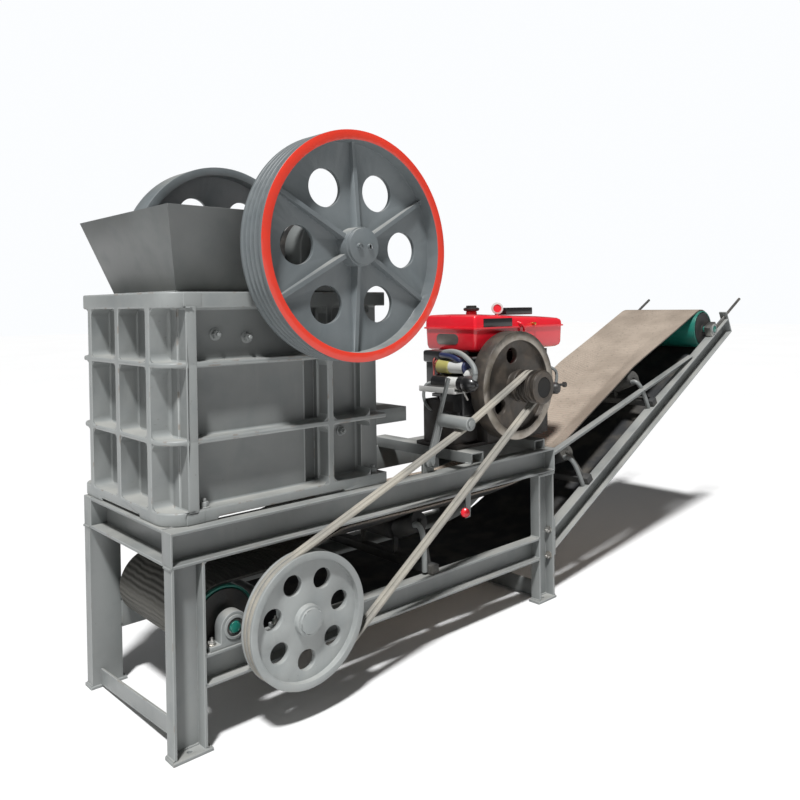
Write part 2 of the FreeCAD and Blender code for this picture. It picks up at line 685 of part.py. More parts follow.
def feed_hopper():
    """Funnel of four leaning plates, open at top and bottom."""
    shells = []
    for grow, low, high in (("0", "0", "0"), ("hopper_t", "0.5", "0.5")):
        thing = doc.addObject("Part::Wedge", "funnel")
        values = {
            "Xmin": "hopper_low_x + %s" % grow, "Xmax": "hopper_low_end - %s" % grow,
            "X2min": "hopper_top_x + %s" % grow, "X2max": "hopper_top_end - %s" % grow,
            "Zmin": "-(hopper_low_half - %s)" % grow, "Zmax": "hopper_low_half - %s" % grow,
            "Z2min": "-(hopper_top_half - %s)" % grow, "Z2max": "hopper_top_half - %s" % grow,
            "Ymin": "0", "Ymax": "hopper_top_z - body_top",
        }
        for prop, text in values.items():
            bind(thing, prop, text)
        shells.append(thing)
    funnel = cut(shells[0], [shells[1]])
    stood = group([funnel], ("0", "0", "body_top"), ((1, 0, 0), "90"))
    node("feed_hopper", [stood], "shift_crusher_y")


# ---------------------------------------------------------------- engine
def engine_block():
    near = "-engine_near"
    far = "-engine_near + engine_w"
    parts = [
        span(("engine_x", "engine_x + engine_l"), (near, far), ("engine_base_z", "engine_top")),
        span(("bearer_front_x + 4", "engine_x + engine_l"), ("%s + 30" % near, "%s - 30" % far),
             ("frame_top + bearer_h", "engine_base_z")),
        span(("bearer_front_x + 20", "engine_x + 1"), ("%s + 60" % near, "%s - 60" % far),
             ("frame_top + bearer_h", "engine_top - 198")),
    ]
    bore = rod("crank_r + running_gap", "engine_w / 2", ("crank_x", "%s - 1" % near, "crank_z"))
    node("engine_block", [cut(fuse(parts), [bore])])


def fuel_tank():
    ys = ("-tank_near", "-tank_near + tank_w")
    xs = ("tank_x", "tank_x + tank_l")
    lip_y = ("-tank_near - tank_lip", "-tank_near + tank_w + tank_lip")
    lip_x = ("tank_x - tank_lip", "tank_x + tank_l + tank_lip")
    parts = [
        span(xs, ys, ("engine_top", "engine_top + tank_h")),
        span(lip_x, lip_y, ("tank_lip_z", "tank_lip_z + 6")),
        rod("24", "28", ("tank_x + 95", "-tank_near + 150", "engine_top + tank_h"), "z"),
        span(("tank_x + 250", "tank_x + 380"), ("-tank_near + 120", "-tank_near + 200"),
             ("engine_top + tank_h - 1", "engine_top + tank_h + 36")),
    ]
    node("fuel_tank", [fuse(parts)])


def starter_motor():
    x = "engine_x - 45"
    parts = [
        rod("34", "150", (x, "-175", "engine_top - 62")),
        rod("38", "150", (x, "-175", "engine_top - 140")),
        span(("engine_x - 95", "engine_x"), ("-185", "-15"), ("engine_top - 192", "engine_top - 178")),
        span(("engine_x - 46", "engine_x"), ("-150", "-50"), ("engine_top - 179", "engine_top - 60")),
    ]
    node("starter_motor", [fuse(parts)])


def engine_flywheel():
    at = ("crank_x", "-ewheel_face", "crank_z")
    rim = ring("ewheel_r", "ewheel_r - 38", "ewheel_w", at)
    disc = rod("ewheel_r - 37", "26", ("crank_x", "-ewheel_face + 22", "crank_z"))
    boss = rod("58", "ewheel_w + 4", at)
    holes = []
    for step in range(3):
        angle = "(%d * 120 + 100) * 1deg" % step
        place = ("crank_x + 128 * cos(%s)" % angle, "-ewheel_face + 10", "crank_z + 128 * sin(%s)" % angle)
        holes.append(rod("ewheel_hole_r", "60", place))
    wheel_body = cut(fuse([rim, disc, boss]), holes)
    pulley = rod("small_r + belt_h / 2 + 1", "small_end - ewheel_face + 1", ("crank_x", "-small_end", "crank_z"))
    grooves = []
    for step in range(-2, 3):
        place = ("crank_x", "-belt_one_y + %d * belt_pitch - belt_w / 2 - groove_gap" % step, "crank_z")
        grooves.append(ring("small_r + 20", "small_r - belt_h / 2 - groove_gap", "belt_w + 2 * groove_gap", place))
    grooves.append(rod("24", "40", ("crank_x", "-small_end - 1", "crank_z")))
    shaft = rod("crank_r", "ewheel_face - engine_near + 60", ("crank_x", "-ewheel_face + 1", "crank_z"))
    node("engine_flywheel", [fuse([wheel_body, cut(pulley, grooves), shaft])])


# ---------------------------------------------------------------- belt drive
def sector(outer, inner, width, start, sweep, at):
    """Part of a flat ring about an axis along y, from one angle on, measured upwards from +x."""
    things = []
    for radius in (outer, inner):
        thing = doc.addObject("Part::Cylinder", "arc")
        bind(thing, "Radius", radius)
        bind(thing, "Height", width)
        thing.Placement = FreeCAD.Placement(V(), FreeCAD.Rotation(V(0, 0, 1), 10))
        if radius == outer:
            bind(thing, "Angle", "(%s) * 1deg" % sweep)
            bind(thing, "Placement.Rotation.Angle", "(%s) * 1deg" % start)
        things.append(thing)
    flat = cut(things[0], [things[1]])
    return group([flat], at, ((1, 0, 0), "90"))


def drive_belts():
    """Two belts over both pulleys, pressed down by the roller."""
    loops = []
    up = "large_r + belt_h / 2"
    down = "large_r - belt_h / 2"
    for step in (0, 1):
        y_low = "-belt_one_y + %d * belt_pitch - belt_w / 2" % step
        y_high = "%s + belt_w" % y_low
        arc_one = sector(up, down, "belt_w", "run_a_deg + 90", "180 + run_c_deg - run_a_deg",
                         ("large_x", y_high, "large_z"))
        arc_two = sector("small_r + belt_h / 2", "small_r - belt_h / 2", "belt_w", "run_c_deg - 90",
                         "180 + run_b_deg - run_c_deg", ("crank_x", y_high, "crank_z"))
        run_a = group([box(("run_a_len + 1.5", "belt_w", "belt_h"), ("0", y_low, "large_r - belt_h / 2"))],
                      ("large_x", "0", "large_z"), ((0, 1, 0), "-run_a_deg"))
        run_b = group([box(("run_b_len + 1.5", "belt_w", "belt_h"), ("-run_b_len - 1.5", y_low, "small_r - belt_h / 2"))],
                      ("crank_x", "0", "crank_z"), ((0, 1, 0), "-run_b_deg"))
        run_c = group([box(("run_c_len", "belt_w", "belt_h"), ("0", y_low, "-large_r - belt_h / 2"))],
                      ("large_x", "0", "large_z"), ((0, 1, 0), "-run_c_deg"))
        loops.append(fuse([arc_one, arc_two, run_a, run_b, run_c]))
    node("drive_belts", loops)


def drive_pulley():
    """Large grooved pulley with seven holes on the shaft under the crusher."""
    at = ("large_x", "-large_face", "large_z")
    disc = rod("large_rim_r", "large_w", at)
    hollow_front = ring("large_rim_r - 22", "48", "22", ("large_x", "-large_face - 1", "large_z"))
    hollow_back = ring("large_rim_r - 22", "48", "20", ("large_x", "-large_face + large_w - 19", "large_z"))
    holes = [hollow_front, hollow_back]
    for step in range(7):
        angle = "(%d * 360 / 7 + 90 + 24) * 1deg" % step
        place = ("large_x + large_hole_at * cos(%s)" % angle, "-large_face - 1", "large_z + large_hole_at * sin(%s)" % angle)
        holes.append(rod("large_hole_r", "large_w + 2", place))
    for step in (0, 1):
        place = ("large_x", "-belt_one_y + %d * belt_pitch - belt_w / 2 - groove_gap" % step, "large_z")
        holes.append(ring("large_rim_r + 5", "large_r - belt_h / 2 - groove_gap", "belt_w + 2 * groove_gap", place))
    shaft = rod("counter_r", "large_face + frame_half", ("large_x", "-large_face - 6", "large_z"))
    cap = rod("40", "8", ("large_x", "-large_face - 8", "large_z"))
    node("drive_pulley", [fuse([cut(disc, holes), cap, shaft])])


def pillow(near, x, z, radius, bore, low_z):
    """Foot bearing on a side channel."""
    ys = side(near, "frame_half - 44", "frame_half - 4")
    foot = span(("%s - 1.75 * (%s)" % (x, radius), "%s + 1.75 * (%s)" % (x, radius)), ys, (low_z, "%s + 14" % low_z))
    block = span(("%s - (%s)" % (x, radius), "%s + (%s)" % (x, radius)), ys, (low_z, z))
    barrel = rod(radius, "40", (x, ys[0], z))
    hole = rod("%s + running_gap" % bore, "44", (x, "%s - 2" % ys[0], z))
    return cut(fuse([foot, block, barrel]), [hole])


def shaft_bearings():
    low_z = "low_rail_z + low_rail_h"
    for name, x, z, radius, bore in (("counter", "large_x", "large_z", "pillow_r", "counter_r"),
                                     ("tail", "tail_x", "tail_z", "pillow_r + 8", "drum_shaft_r")):
        blocks = [pillow(near, x, z, radius, bore, low_z) for word, near in sides()]
        node(name + "_bearings", blocks)


def tensioner():
    """Lever on the near top rail with a roller lying on the belts."""
    lug_y = "-(frame_half - rail_flange) - 14"
    lug = span(("pivot_x - 28", "pivot_x + 28"), (lug_y, "%s + 12" % lug_y), ("frame_top", "pivot_z + 22"))
    pin_hole = rod("9 + running_gap", "16", ("pivot_x", "%s - 2" % lug_y, "pivot_z"))
    node("tensioner_lug", [cut(lug, [pin_hole])])
    arm_y = "%s - 14" % lug_y
    bar = box(("34", "12", "arm_len + 14"), ("-17", arm_y, "-14"))
    grip = box(("14", "12", "165"), ("-17", arm_y, "arm_len"))
    leaning = group([fuse([bar, grip])], ("pivot_x", "0", "pivot_z"), ((0, 1, 0), "arm_deg"))
    eye = rod("22", "12", ("pivot_x", arm_y, "pivot_z"))
    pin = rod("9", "26", ("pivot_x", arm_y, "pivot_z"))
    axle = rod("10", "roller_len + 12", ("roller_x", "%s - roller_len" % arm_y, "roller_z"))
    cap = rod("15", "5.4", ("roller_x", "%s - roller_len - 4" % arm_y, "roller_z"))
    node("tensioner_arm", [fuse([leaning, eye, pin, axle, cap])])
    roll = ring("roller_r", "10 + running_gap", "roller_len - 2", ("roller_x", "%s - roller_len + 1.7" % arm_y, "roller_z"))
    node("tensioner_roller", [roll])


# ---------------------------------------------------------------- conveyor
def on_slope(things):
    """Things drawn along the incline, x up the slope from the bend, z square to it."""
    return group(things, ("bend_x", "0", "tail_z"), ((0, 1, 0), "-slope"))


def drum(x, z, name):
    barrel = ring("drum_r - groove_gap", "drum_r - 8", "2 * drum_half", (x, "-drum_half", z))
    ends = []
    for start in ("-drum_half + 14", "drum_half - 24"):
        ends.append(rod("drum_r - 7", "10", (x, start, z)))
    shaft = rod("drum_shaft_r", "2 * frame_half + 4", (x, "-frame_half - 2", z))
    node(name, [fuse([barrel, shaft] + ends)])


def conveyor_belt():
    """Closed loop round both drums, troughed between them along the carrying side."""
    outer = "drum_r + strip_t"
    width = ("-belt_half", "belt_half")
    top = ("tail_z + drum_r", "tail_z + drum_r + strip_t")
    low = ("tail_z - drum_r - strip_t", "tail_z - drum_r")
    middle = ("-belt_flat", "belt_flat")
    flat = [
        span(("tail_x", "flat_trough_start"), width, top),
        span(("flat_trough_start - 1", "flat_trough_end + 1"), middle, top),
        span(("flat_trough_end", "bend_x - drum_r * half_tan"), width, top),
        span(("tail_x", "bend_x + (drum_r + strip_t) * half_tan"), width, low),
    ]
    above = ("drum_r", "drum_r + strip_t")
    below = ("-drum_r - strip_t", "-drum_r")
    rising = [
        span(("drum_r * half_tan", "incline_trough_start"), width, above),
        span(("incline_trough_start - 1", "incline_trough_end + 1"), middle, above),
        span(("incline_trough_end", "incline_len"), width, above),
        span(("-(drum_r + strip_t) * half_tan", "incline_len"), width, below),
    ]
    for sign in (-1, 1):
        low_y = "-wing_w" if sign < 0 else "-3"
        turn = "%d * wing_tilt" % sign
        wing = box(("flat_trough_end - flat_trough_start", "wing_w + 3", "strip_t"), ("0", low_y, "0"))
        place = ("flat_trough_start", "%d * belt_flat" % sign, "tail_z + drum_r")
        flat.append(group([wing], place, ((1, 0, 0), turn)))
        wing = box(("incline_trough_end - incline_trough_start", "wing_w + 3", "strip_t"), ("0", low_y, "0"))
        place = ("incline_trough_start", "%d * belt_flat" % sign, "drum_r")
        rising.append(group([wing], place, ((1, 0, 0), turn)))
    tail_arc = sector(outer, "drum_r", "2 * belt_half", "90", "180", ("tail_x", "belt_half", "tail_z"))
    head_arc = sector(outer, "drum_r", "2 * belt_half", "-90", "180", ("incline_len", "belt_half", "0"))
    node("conveyor_belt", [fuse(flat + [tail_arc, on_slope([fuse(rising + [head_arc])])])])


def conveyor_rails():
    """Side channels of the rising part with their end plates, leg cleats and braces."""
    for name, near in sides():
        tips = side(near, "frame_half - leg_flange", "frame_half")
        web = side(near, "frame_half - leg_flange", "frame_half - leg_flange + web_t")
        zs = ("-side_drop - side_h", "-side_drop")
        xs = ("-120", "rail_top_len - 8")
        bars = [
            span(xs, web, zs),
            span(xs, tips, ("-side_drop - side_h", "-side_drop - side_h + web_t")),
            span(xs, tips, ("-side_drop - web_t", "-side_drop")),
        ]
        plate = span(("rail_top_len - 8", "rail_top_len"), tips, ("-side_drop - side_h", "14"))
        middle_y = "%s(frame_half - leg_flange / 2)" % ("-" if near else "")
        hole = rod("screw_r + 0.4", "20", ("rail_top_len - 14", middle_y, "-screw_drop"), "x")
        rising = on_slope([cut(fuse(bars + [plate]), [hole])])
        brace_y = side(near, "frame_half - leg_flange + 4", "frame_half - leg_flange + 4 + brace_w")
        wall_y = side(near, "frame_half - leg_flange + 4", "frame_half - leg_flange + 9")
        upright = span(("-40", "brace_len"), wall_y, ("-brace_w", "0"))
        shelf = span(("-40", "brace_len"), brace_y, ("-5", "0"))
        brace = group([fuse([upright, shelf])], ("rail_end", "0", "brace_z + brace_w / 2"), ((0, 1, 0), "-brace_deg"))
        ground = span(("rear_leg_x", "rear_leg_x + leg_w + 10"), ("-frame_half - 20", "frame_half + 20"), ("0", "frame_top - rail_h"))
        upper = span(("rear_leg_x", "rail_end"), ("-frame_half - 20", "frame_half + 20"), ("0", "frame_top"))
        cleat = span(("rear_leg_x + leg_w", "rear_leg_x + leg_w + 10"), tips, ("low_rail_z", "low_rail_z + 165"))
        bars = fuse([cut(fuse([rising, brace]), [ground, upper]), cleat])
        node(name + "_conveyor_rail", [bars])


def take_ups():
    for name, near in sides():
        ys = side(near, "frame_half - 44", "frame_half - 4")
        middle_y = "%s(frame_half - leg_flange / 2)" % ("-" if near else "")
        block = span(("incline_len - 36", "incline_len + 36"), ys, ("-side_drop", "30"))
        bore = rod("drum_shaft_r + running_gap", "44", ("incline_len", "%s - 2" % ys[0], "0"))
        screw = rod("screw_r", "side_over + screw_over - 30", ("incline_len + 30", middle_y, "-screw_drop"), "x")
        nut = rod("screw_r + 7", "14", ("rail_top_len + 0.3", middle_y, "-screw_drop"), "x")
        node(name + "_take_up", [on_slope([cut(fuse([block, screw, nut]), [bore])])])


def idler_station(x, base):
    """Three rollers under the belt on a cross bar with posts; base is the level of the channel tops."""
    axis = "drum_r - idler_r - idler_gap"
    arm_in = "(arm_foot_y - wing_end_y)"
    arm_up = "(wing_end_z - (%s + 20))" % base
    parts = [
        span(("%s - 20" % x, "%s + 20" % x), ("-(frame_half - 5)", "frame_half - 5"), (base, "%s + 34" % base)),
        rod("idler_r", "190", (x, "-95", axis)),
        rod("9", "212", (x, "-106", axis)),
    ]
    for sign in (-1, 1):
        post = span(("%s - 12" % x, "%s + 12" % x), ("%d - 4" % (sign * 102), "%d + 4" % (sign * 102)),
                    ("%s + 30" % base, "%s + 12" % axis))
        roll_y = "8" if sign > 0 else "-wing_w + 10"
        pin_y = "0" if sign > 0 else "-wing_w + 2"
        roll = rod("idler_r", "wing_w - 18", ("0", roll_y, "-idler_r - idler_gap"))
        pin = rod("9", "wing_w - 2", ("0", pin_y, "-idler_r - idler_gap"))
        wing = group([fuse([roll, pin])], (x, "%d * belt_flat" % sign, "drum_r"), ((1, 0, 0), "%d * wing_tilt" % sign))
        arm = box(("18", "18", "sqrt(%s ^ 2 + %s ^ 2)" % (arm_in, arm_up)), ("-9", "-9", "0"))
        foot = (x, "%d * arm_foot_y" % sign, "%s + 20" % base)
        bent = group([arm], foot, ((1, 0, 0), "%d * atan(%s / %s) / 1deg" % (sign, arm_in, arm_up)))
        parts += [post, wing, bent]
    return fuse(parts)


def idlers():
    level = idler_station("flat_idler_x", "low_rail_z + low_rail_h - tail_z")
    stations = [group([level], ("0", "0", "tail_z"))]
    for place in ("idler_low_s", "idler_high_s"):
        stations.append(on_slope([idler_station(place, "-side_drop")]))
    node("idlers", stations)


def main():
    top_rails()
    cross_beams()
    engine_bearers()
    legs()
    lower_rails()
    ground_tie()
    rear_ground_tie()
    front_wall()
    side_walls()
    rear_wall()
    fixed_jaw()
    moving_jaw()
    toggle_plate()
    tension_rod()
    bearings()
    crusher_shaft()
    flywheels()
    feed_hopper()
    engine_block()
    fuel_tank()
    starter_motor()
    engine_flywheel()
    drive_belts()
    drive_pulley()
    shaft_bearings()
    tensioner()
    drum("tail_x", "tail_z", "tail_drum")
    drum("head_x", "head_z", "head_drum")
    conveyor_belt()
    conveyor_rails()
    take_ups()
    idlers()
    doc.recompute()
    for thing in doc.Objects:
        if "Invalid" in thing.State or "Error" in thing.State:
            raise RuntimeError("step failed: %s %s" % (thing.Name, thing.State))
    os.makedirs("parts", exist_ok=True)
    for thing in NODES:
        if thing.Shape.isNull() or not thing.Shape.isValid():
            raise RuntimeError("bad shape: " + thing.Label)
        thing.Shape.exportStep("parts/%s.step" % thing.Label)


main()
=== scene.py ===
# %% [markdown]
# # A jaw crusher with its engine and conveyor
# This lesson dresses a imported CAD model: a small jaw crusher on a steel frame, a diesel engine that
# drives a belt, and a conveyor that carries the broken stone away.  The CAD part gives every size and
# place, in metres.  Here the pieces get soft edges, paint, rubber, iron, bolts and pipes.

# %% Load the frame
import json
import math

import bmesh
import bpy
import numpy as np
from mathutils import Matrix, Vector


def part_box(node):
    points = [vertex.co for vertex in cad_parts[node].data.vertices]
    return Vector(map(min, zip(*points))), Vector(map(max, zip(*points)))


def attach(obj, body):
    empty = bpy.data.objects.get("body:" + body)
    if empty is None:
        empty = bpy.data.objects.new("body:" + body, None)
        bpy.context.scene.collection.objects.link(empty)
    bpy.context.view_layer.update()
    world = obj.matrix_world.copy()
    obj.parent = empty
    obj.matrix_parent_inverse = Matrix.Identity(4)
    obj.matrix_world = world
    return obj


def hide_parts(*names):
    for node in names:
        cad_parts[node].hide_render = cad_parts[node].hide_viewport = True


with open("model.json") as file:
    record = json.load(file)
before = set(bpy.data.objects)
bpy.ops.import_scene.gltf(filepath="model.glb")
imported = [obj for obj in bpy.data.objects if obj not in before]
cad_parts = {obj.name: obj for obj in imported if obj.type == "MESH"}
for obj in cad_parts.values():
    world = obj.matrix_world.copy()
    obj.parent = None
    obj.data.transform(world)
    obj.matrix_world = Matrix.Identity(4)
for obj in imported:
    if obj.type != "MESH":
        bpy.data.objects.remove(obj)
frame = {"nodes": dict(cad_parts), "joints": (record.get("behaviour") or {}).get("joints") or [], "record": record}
NODES = frame["nodes"]
BODY_OF = {node: body for body, members in frame["record"]["behaviour"]["bodies"].items()
           for node in members}
SLOT_OF = {row["node"]: row["material_slot"] for row in frame["record"]["subparts"]}
AXIS = {joint["name"]: np.array(joint["pos_m"]) for joint in frame["joints"]}
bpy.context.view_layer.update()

# %% [markdown]
# ## Where things are
# Every later step asks the CAD model where a piece stands instead of repeating numbers.  `span` gives
# the lowest and highest corner of a node as arrays, which are easy to add to and to scale.

# %% Ask the model for places
def span(node):
    """Lowest and highest corner of a CAD node."""
    low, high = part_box(node)
    return np.array(low), np.array(high)


MAIN = AXIS["crusher_spin"]
ENGINE = AXIS["engine_spin"]
print("flywheel axis", MAIN, "engine axis", ENGINE)

# %% [markdown]
# ## The camera
# A camera is three directions and a place.  The directions come from a yaw, a pitch and a small roll,
# and they are the columns of the camera's matrix.  The small shift moves the picture without turning
# the camera, so upright edges stay upright.

# %% Place the camera
def aim(yaw, pitch, roll):
    """Right, up and forward directions for three angles in degrees."""
    yaw, pitch, roll = np.radians([yaw, pitch, roll])
    up = np.array([0, 0, 1.0])
    ahead = np.array([math.sin(yaw), math.cos(yaw), 0])
    right = np.array([math.cos(yaw), -math.sin(yaw), 0])
    forward = ahead * math.cos(pitch) - up * math.sin(pitch)
    above = up * math.cos(pitch) + ahead * math.sin(pitch)
    return (right * math.cos(roll) + above * math.sin(roll),
            above * math.cos(roll) - right * math.sin(roll), forward)


camera_data = bpy.data.cameras.new("camera")
camera_data.lens = 34.666
camera_data.sensor_width = 36
camera_data.shift_x = -0.0370
camera_data.shift_y = -0.1034
camera = bpy.data.objects.new("camera", camera_data)
right, up, forward = aim(43.792, 0.926, -0.743)
turn = Matrix([[right[i], up[i], -forward[i]] for i in range(3)])
camera.matrix_world = Matrix.Translation((-2.811541, -2.460222, 1.303246)) @ turn.to_4x4()
bpy.context.scene.collection.objects.link(camera)
bpy.context.scene.camera = camera
bpy.context.scene.view_settings.view_transform = "Standard"
print("camera looks along", np.round(forward, 3))

# %% [markdown]
# ## Shader maths as plain Python
# A material is a small network of nodes.  Building it by hand takes many lines, so `Wire` wraps one
# output socket and lets `+ - * /` make the Math nodes.  `Finish.add` makes any other node from its
# type, its settings and its sockets.

# %% A class for wires and a class for finishes
class Wire:
    """One output of a node; sums with it add Math nodes to the same material."""

    def __init__(self, tree, socket):
        self.tree = tree
        self.socket = socket

    def math(self, operation, other=0.0, swap=False):
        made = self.tree.nodes.new("ShaderNodeMath")
        made.operation = operation
        ends = (other, self) if swap else (self, other)
        for place, end in zip(made.inputs, ends):
            connect(self.tree, place, end)
        return Wire(self.tree, made.outputs[0])

    def __add__(self, other):
        return self.math("ADD", other)

    def __sub__(self, other):
        return self.math("SUBTRACT", other)

    def __rsub__(self, other):
        return self.math("SUBTRACT", other, swap=True)

    def __mul__(self, other):
        return self.math("MULTIPLY", other)

    def __truediv__(self, other):
        return self.math("DIVIDE", other)

    __radd__ = __add__
    __rmul__ = __mul__


def connect(tree, place, end):
    """Link a wire to a socket, or set the socket to a number, colour or vector."""
    if isinstance(end, Wire):
        tree.links.new(end.socket, place)
    elif place.type == "RGBA" and len(end) == 3:
        place.default_value = (*end, 1)
    else:
        place.default_value = end


class Finish:
    """A material with one Principled shader and short words for the nodes used most."""

    def __init__(self, name, **constants):
        self.material = bpy.data.materials.new(name)
        self.material.use_nodes = True
        self.tree = self.material.node_tree
        self.shader = self.tree.nodes["Principled BSDF"]
        for word, value in constants.items():
            connect(self.tree, self.shader.inputs[word.replace("_", " ").title()], value)
        self.place = self.add("ShaderNodeTexCoord", out="Object")

    def add(self, kind, settings=None, sockets=None, out=0):
        """Any node: its type, its settings, then its sockets' values or wires."""
        made = self.tree.nodes.new(kind)
        for word, value in (settings or {}).items():
            setattr(made, word, value)
        for word, value in (sockets or {}).items():
            by_name = [socket for socket in made.inputs if socket.name == word and socket.enabled]
            found = by_name if isinstance(word, str) else [made.inputs[word]]
            connect(self.tree, found[0], value)
        return Wire(self.tree, made.outputs[out])

    def noise(self, scale, detail=3.0, stretch=(1, 1, 1), shift=(0, 0, 0)):
        """Cloudy value from 0 to 1, finer with a larger scale."""
        place = self.add("ShaderNodeMapping", sockets={"Vector": self.place, "Scale": stretch,
                                                       "Location": shift})
        return self.add("ShaderNodeTexNoise", sockets={"Vector": place, "Scale": scale, "Detail": detail})

    def fade(self, value, low, high):
        """0 below low, 1 above high, smooth between."""
        return self.add("ShaderNodeMapRange", {"interpolation_type": "SMOOTHSTEP"},
                        {"Value": value, "From Min": low, "From Max": high})

    def mix(self, first, second, share):
        """Colour between two colours."""
        return self.add("ShaderNodeMix", {"data_type": "RGBA"}, {"Factor": share, "A": first, "B": second},
                        out=2)

    def axis(self, letter):
        """Distance along one axis."""
        return self.add("ShaderNodeSeparateXYZ", sockets={"Vector": self.place}, out=letter)

    def upward(self):
        """1 on faces that look up, 0 on upright ones."""
        normal = self.add("ShaderNodeTexCoord", out="Normal")
        return self.add("ShaderNodeSeparateXYZ", sockets={"Vector": normal}, out="Z")

    def finish(self, colour=None, roughness=None, height=None, depth=0.001, strength=0.5):
        """Feed what varies to the shader and hand back the material."""
        if colour is not None:
            connect(self.tree, self.shader.inputs["Base Color"], colour)
        if roughness is not None:
            connect(self.tree, self.shader.inputs["Roughness"], roughness)
        if height is not None:
            bump = self.add("ShaderNodeBump", sockets={"Strength": strength, "Distance": depth,
                                                       "Height": height})
            connect(self.tree, self.shader.inputs["Normal"], bump)
        return self.material


print("shader helpers ready")

# %% [markdown]
# ## Grey machine paint
# The whole machine was sprayed with one satin grey.  Over castings it lies a little lumpy, over
# rolled channel it is smooth.  Dust settles on faces that look up, and runs and scuffs break the
# colour.  One function makes all the greys so that they belong together.

# %% Grey paint
def grey_paint(name, tone, lump=0.35, dust=0.5, scuff=0.35):
    """Satin paint: clouded tone, dust on upward faces, pale scuffs, fine orange peel."""
    f = Finish(name, roughness=0.45)
    tone = np.array(tone)
    cloud = f.fade(f.noise(2.6, 5), 0.32, 0.68)
    colour = f.mix(tuple(tone * 0.86), tuple(tone * 1.12), cloud)
    patch = f.fade(f.noise(11, 4, shift=(3, 1, 7)), 0.45, 0.72)
    colour = f.mix(colour, tuple(tone * np.array([0.80, 0.84, 0.86])), patch * 0.45)
    streak = f.fade(f.noise(30, 3, stretch=(1, 1, 0.12)), 0.56, 0.75)
    colour = f.mix(colour, tuple(tone * np.array([1.25, 1.22, 1.16])), streak * (scuff * 0.5))
    lying = f.fade(f.upward(), 0.6, 0.95) * f.fade(f.noise(6, 4, shift=(9, 0, 2)), 0.2, 0.7)
    colour = f.mix(colour, (0.42, 0.41, 0.375), lying * dust)
    speck = f.fade(f.noise(85, 2, shift=(1, 5, 3)), 0.70, 0.78)
    colour = f.mix(colour, (0.10, 0.085, 0.07), speck * (scuff * 0.6))
    rough = 0.36 + cloud * 0.10 + lying * 0.25 + patch * 0.06
    height = f.noise(22, 3) * lump + f.noise(170, 2) * 0.25
    return f.finish(colour, rough, height, depth=0.0016, strength=0.35)


def pale_edge_highlight_and_wear(name, tone):
    """The same paint on an edge: paler as a painted highlight, and rubbed to the metal here and there as wear."""
    f = Finish(name, roughness=0.4)
    tone = np.array(tone)
    rub = f.fade(f.noise(24, 4, shift=(2, 2, 2)), 0.56, 0.66)
    # The paler tone is a painted highlight along the edge; the brown rub is wear.
    colour = f.mix(tuple(tone * 1.16), (0.20, 0.155, 0.12), rub * 0.5)
    return f.finish(colour, 0.42 + rub * 0.25, f.noise(60, 2), depth=0.0008, strength=0.3)


GREY = (0.255, 0.268, 0.264)
PAINT = {
    "crusher_paint": grey_paint("cast_grey_paint", GREY, lump=0.6),
    "frame_paint": grey_paint("channel_grey_paint", tuple(np.array(GREY) * 0.82), lump=0.25, scuff=0.5),
}
EDGE = {slot: pale_edge_highlight_and_wear(slot + "_edge", GREY) for slot in PAINT}
print("paints", list(PAINT))

# %% [markdown]
# ## Metals, rubber and other colours
# Each of these is one short recipe: a base colour, something that varies over a few centimetres, and
# a fine bump at the size of the real grain.

# %% Other finishes
def steel(name, tone, rough=0.38, grain=(1, 60, 1)):
    """Turned or ground steel: fine lines along one direction, a little oil and tarnish."""
    f = Finish(name, metallic=1.0, roughness=rough)
    line = f.noise(40, 4, stretch=grain)
    stain = f.fade(f.noise(14, 4), 0.45, 0.75)
    tone = np.array(tone)
    colour = f.mix(tuple(tone), tuple(tone * np.array([0.62, 0.55, 0.48])), stain * 0.6)
    return f.finish(colour, rough - 0.08 + line * 0.2 + stain * 0.15, line, depth=0.0004, strength=0.3)


def iron(name, tone):
    """Oily cast iron with a sandy skin."""
    f = Finish(name, roughness=0.5, metallic=0.35)
    tone = np.array(tone)
    blot = f.fade(f.noise(18, 5), 0.4, 0.7)
    colour = f.mix(tuple(tone * 0.8), tuple(tone * np.array([1.3, 1.2, 1.1])), blot)
    return f.finish(colour, 0.42 + blot * 0.2, f.noise(140, 3), depth=0.0015, strength=0.4)


def gloss(name, tone, rough=0.25):
    """Glossy paint with faint dust and a clear top layer."""
    f = Finish(name, roughness=rough, coat_weight=0.5)
    tone = np.array(tone)
    cloud = f.noise(5, 4)
    colour = f.mix(tuple(tone * 0.85), tuple(np.minimum(tone * 1.12, 0.95)), cloud)
    lying = f.fade(f.upward(), 0.7, 1.0) * f.fade(f.noise(12, 4, shift=(4, 4, 0)), 0.4, 0.8)
    colour = f.mix(colour, (0.55, 0.42, 0.38), lying * 0.25)
    return f.finish(colour, rough + lying * 0.3 + cloud * 0.08, f.noise(9, 2), depth=0.002, strength=0.12)


def rubber(name, tone, dust=(0.5, 0.46, 0.38), amount=0.4):
    """Dusty rubber with a fine grain."""
    f = Finish(name, roughness=0.75)
    tone = np.array(tone)
    cloud = f.fade(f.noise(7, 5), 0.35, 0.7)
    colour = f.mix(tuple(tone), dust, cloud * amount)
    grain = f.noise(260, 2)
    colour = f.mix(colour, tuple(tone * 0.7), f.fade(grain, 0.5, 0.7) * 0.3)
    return f.finish(colour, 0.68 + cloud * 0.15, grain + f.noise(40, 3), depth=0.001, strength=0.4)


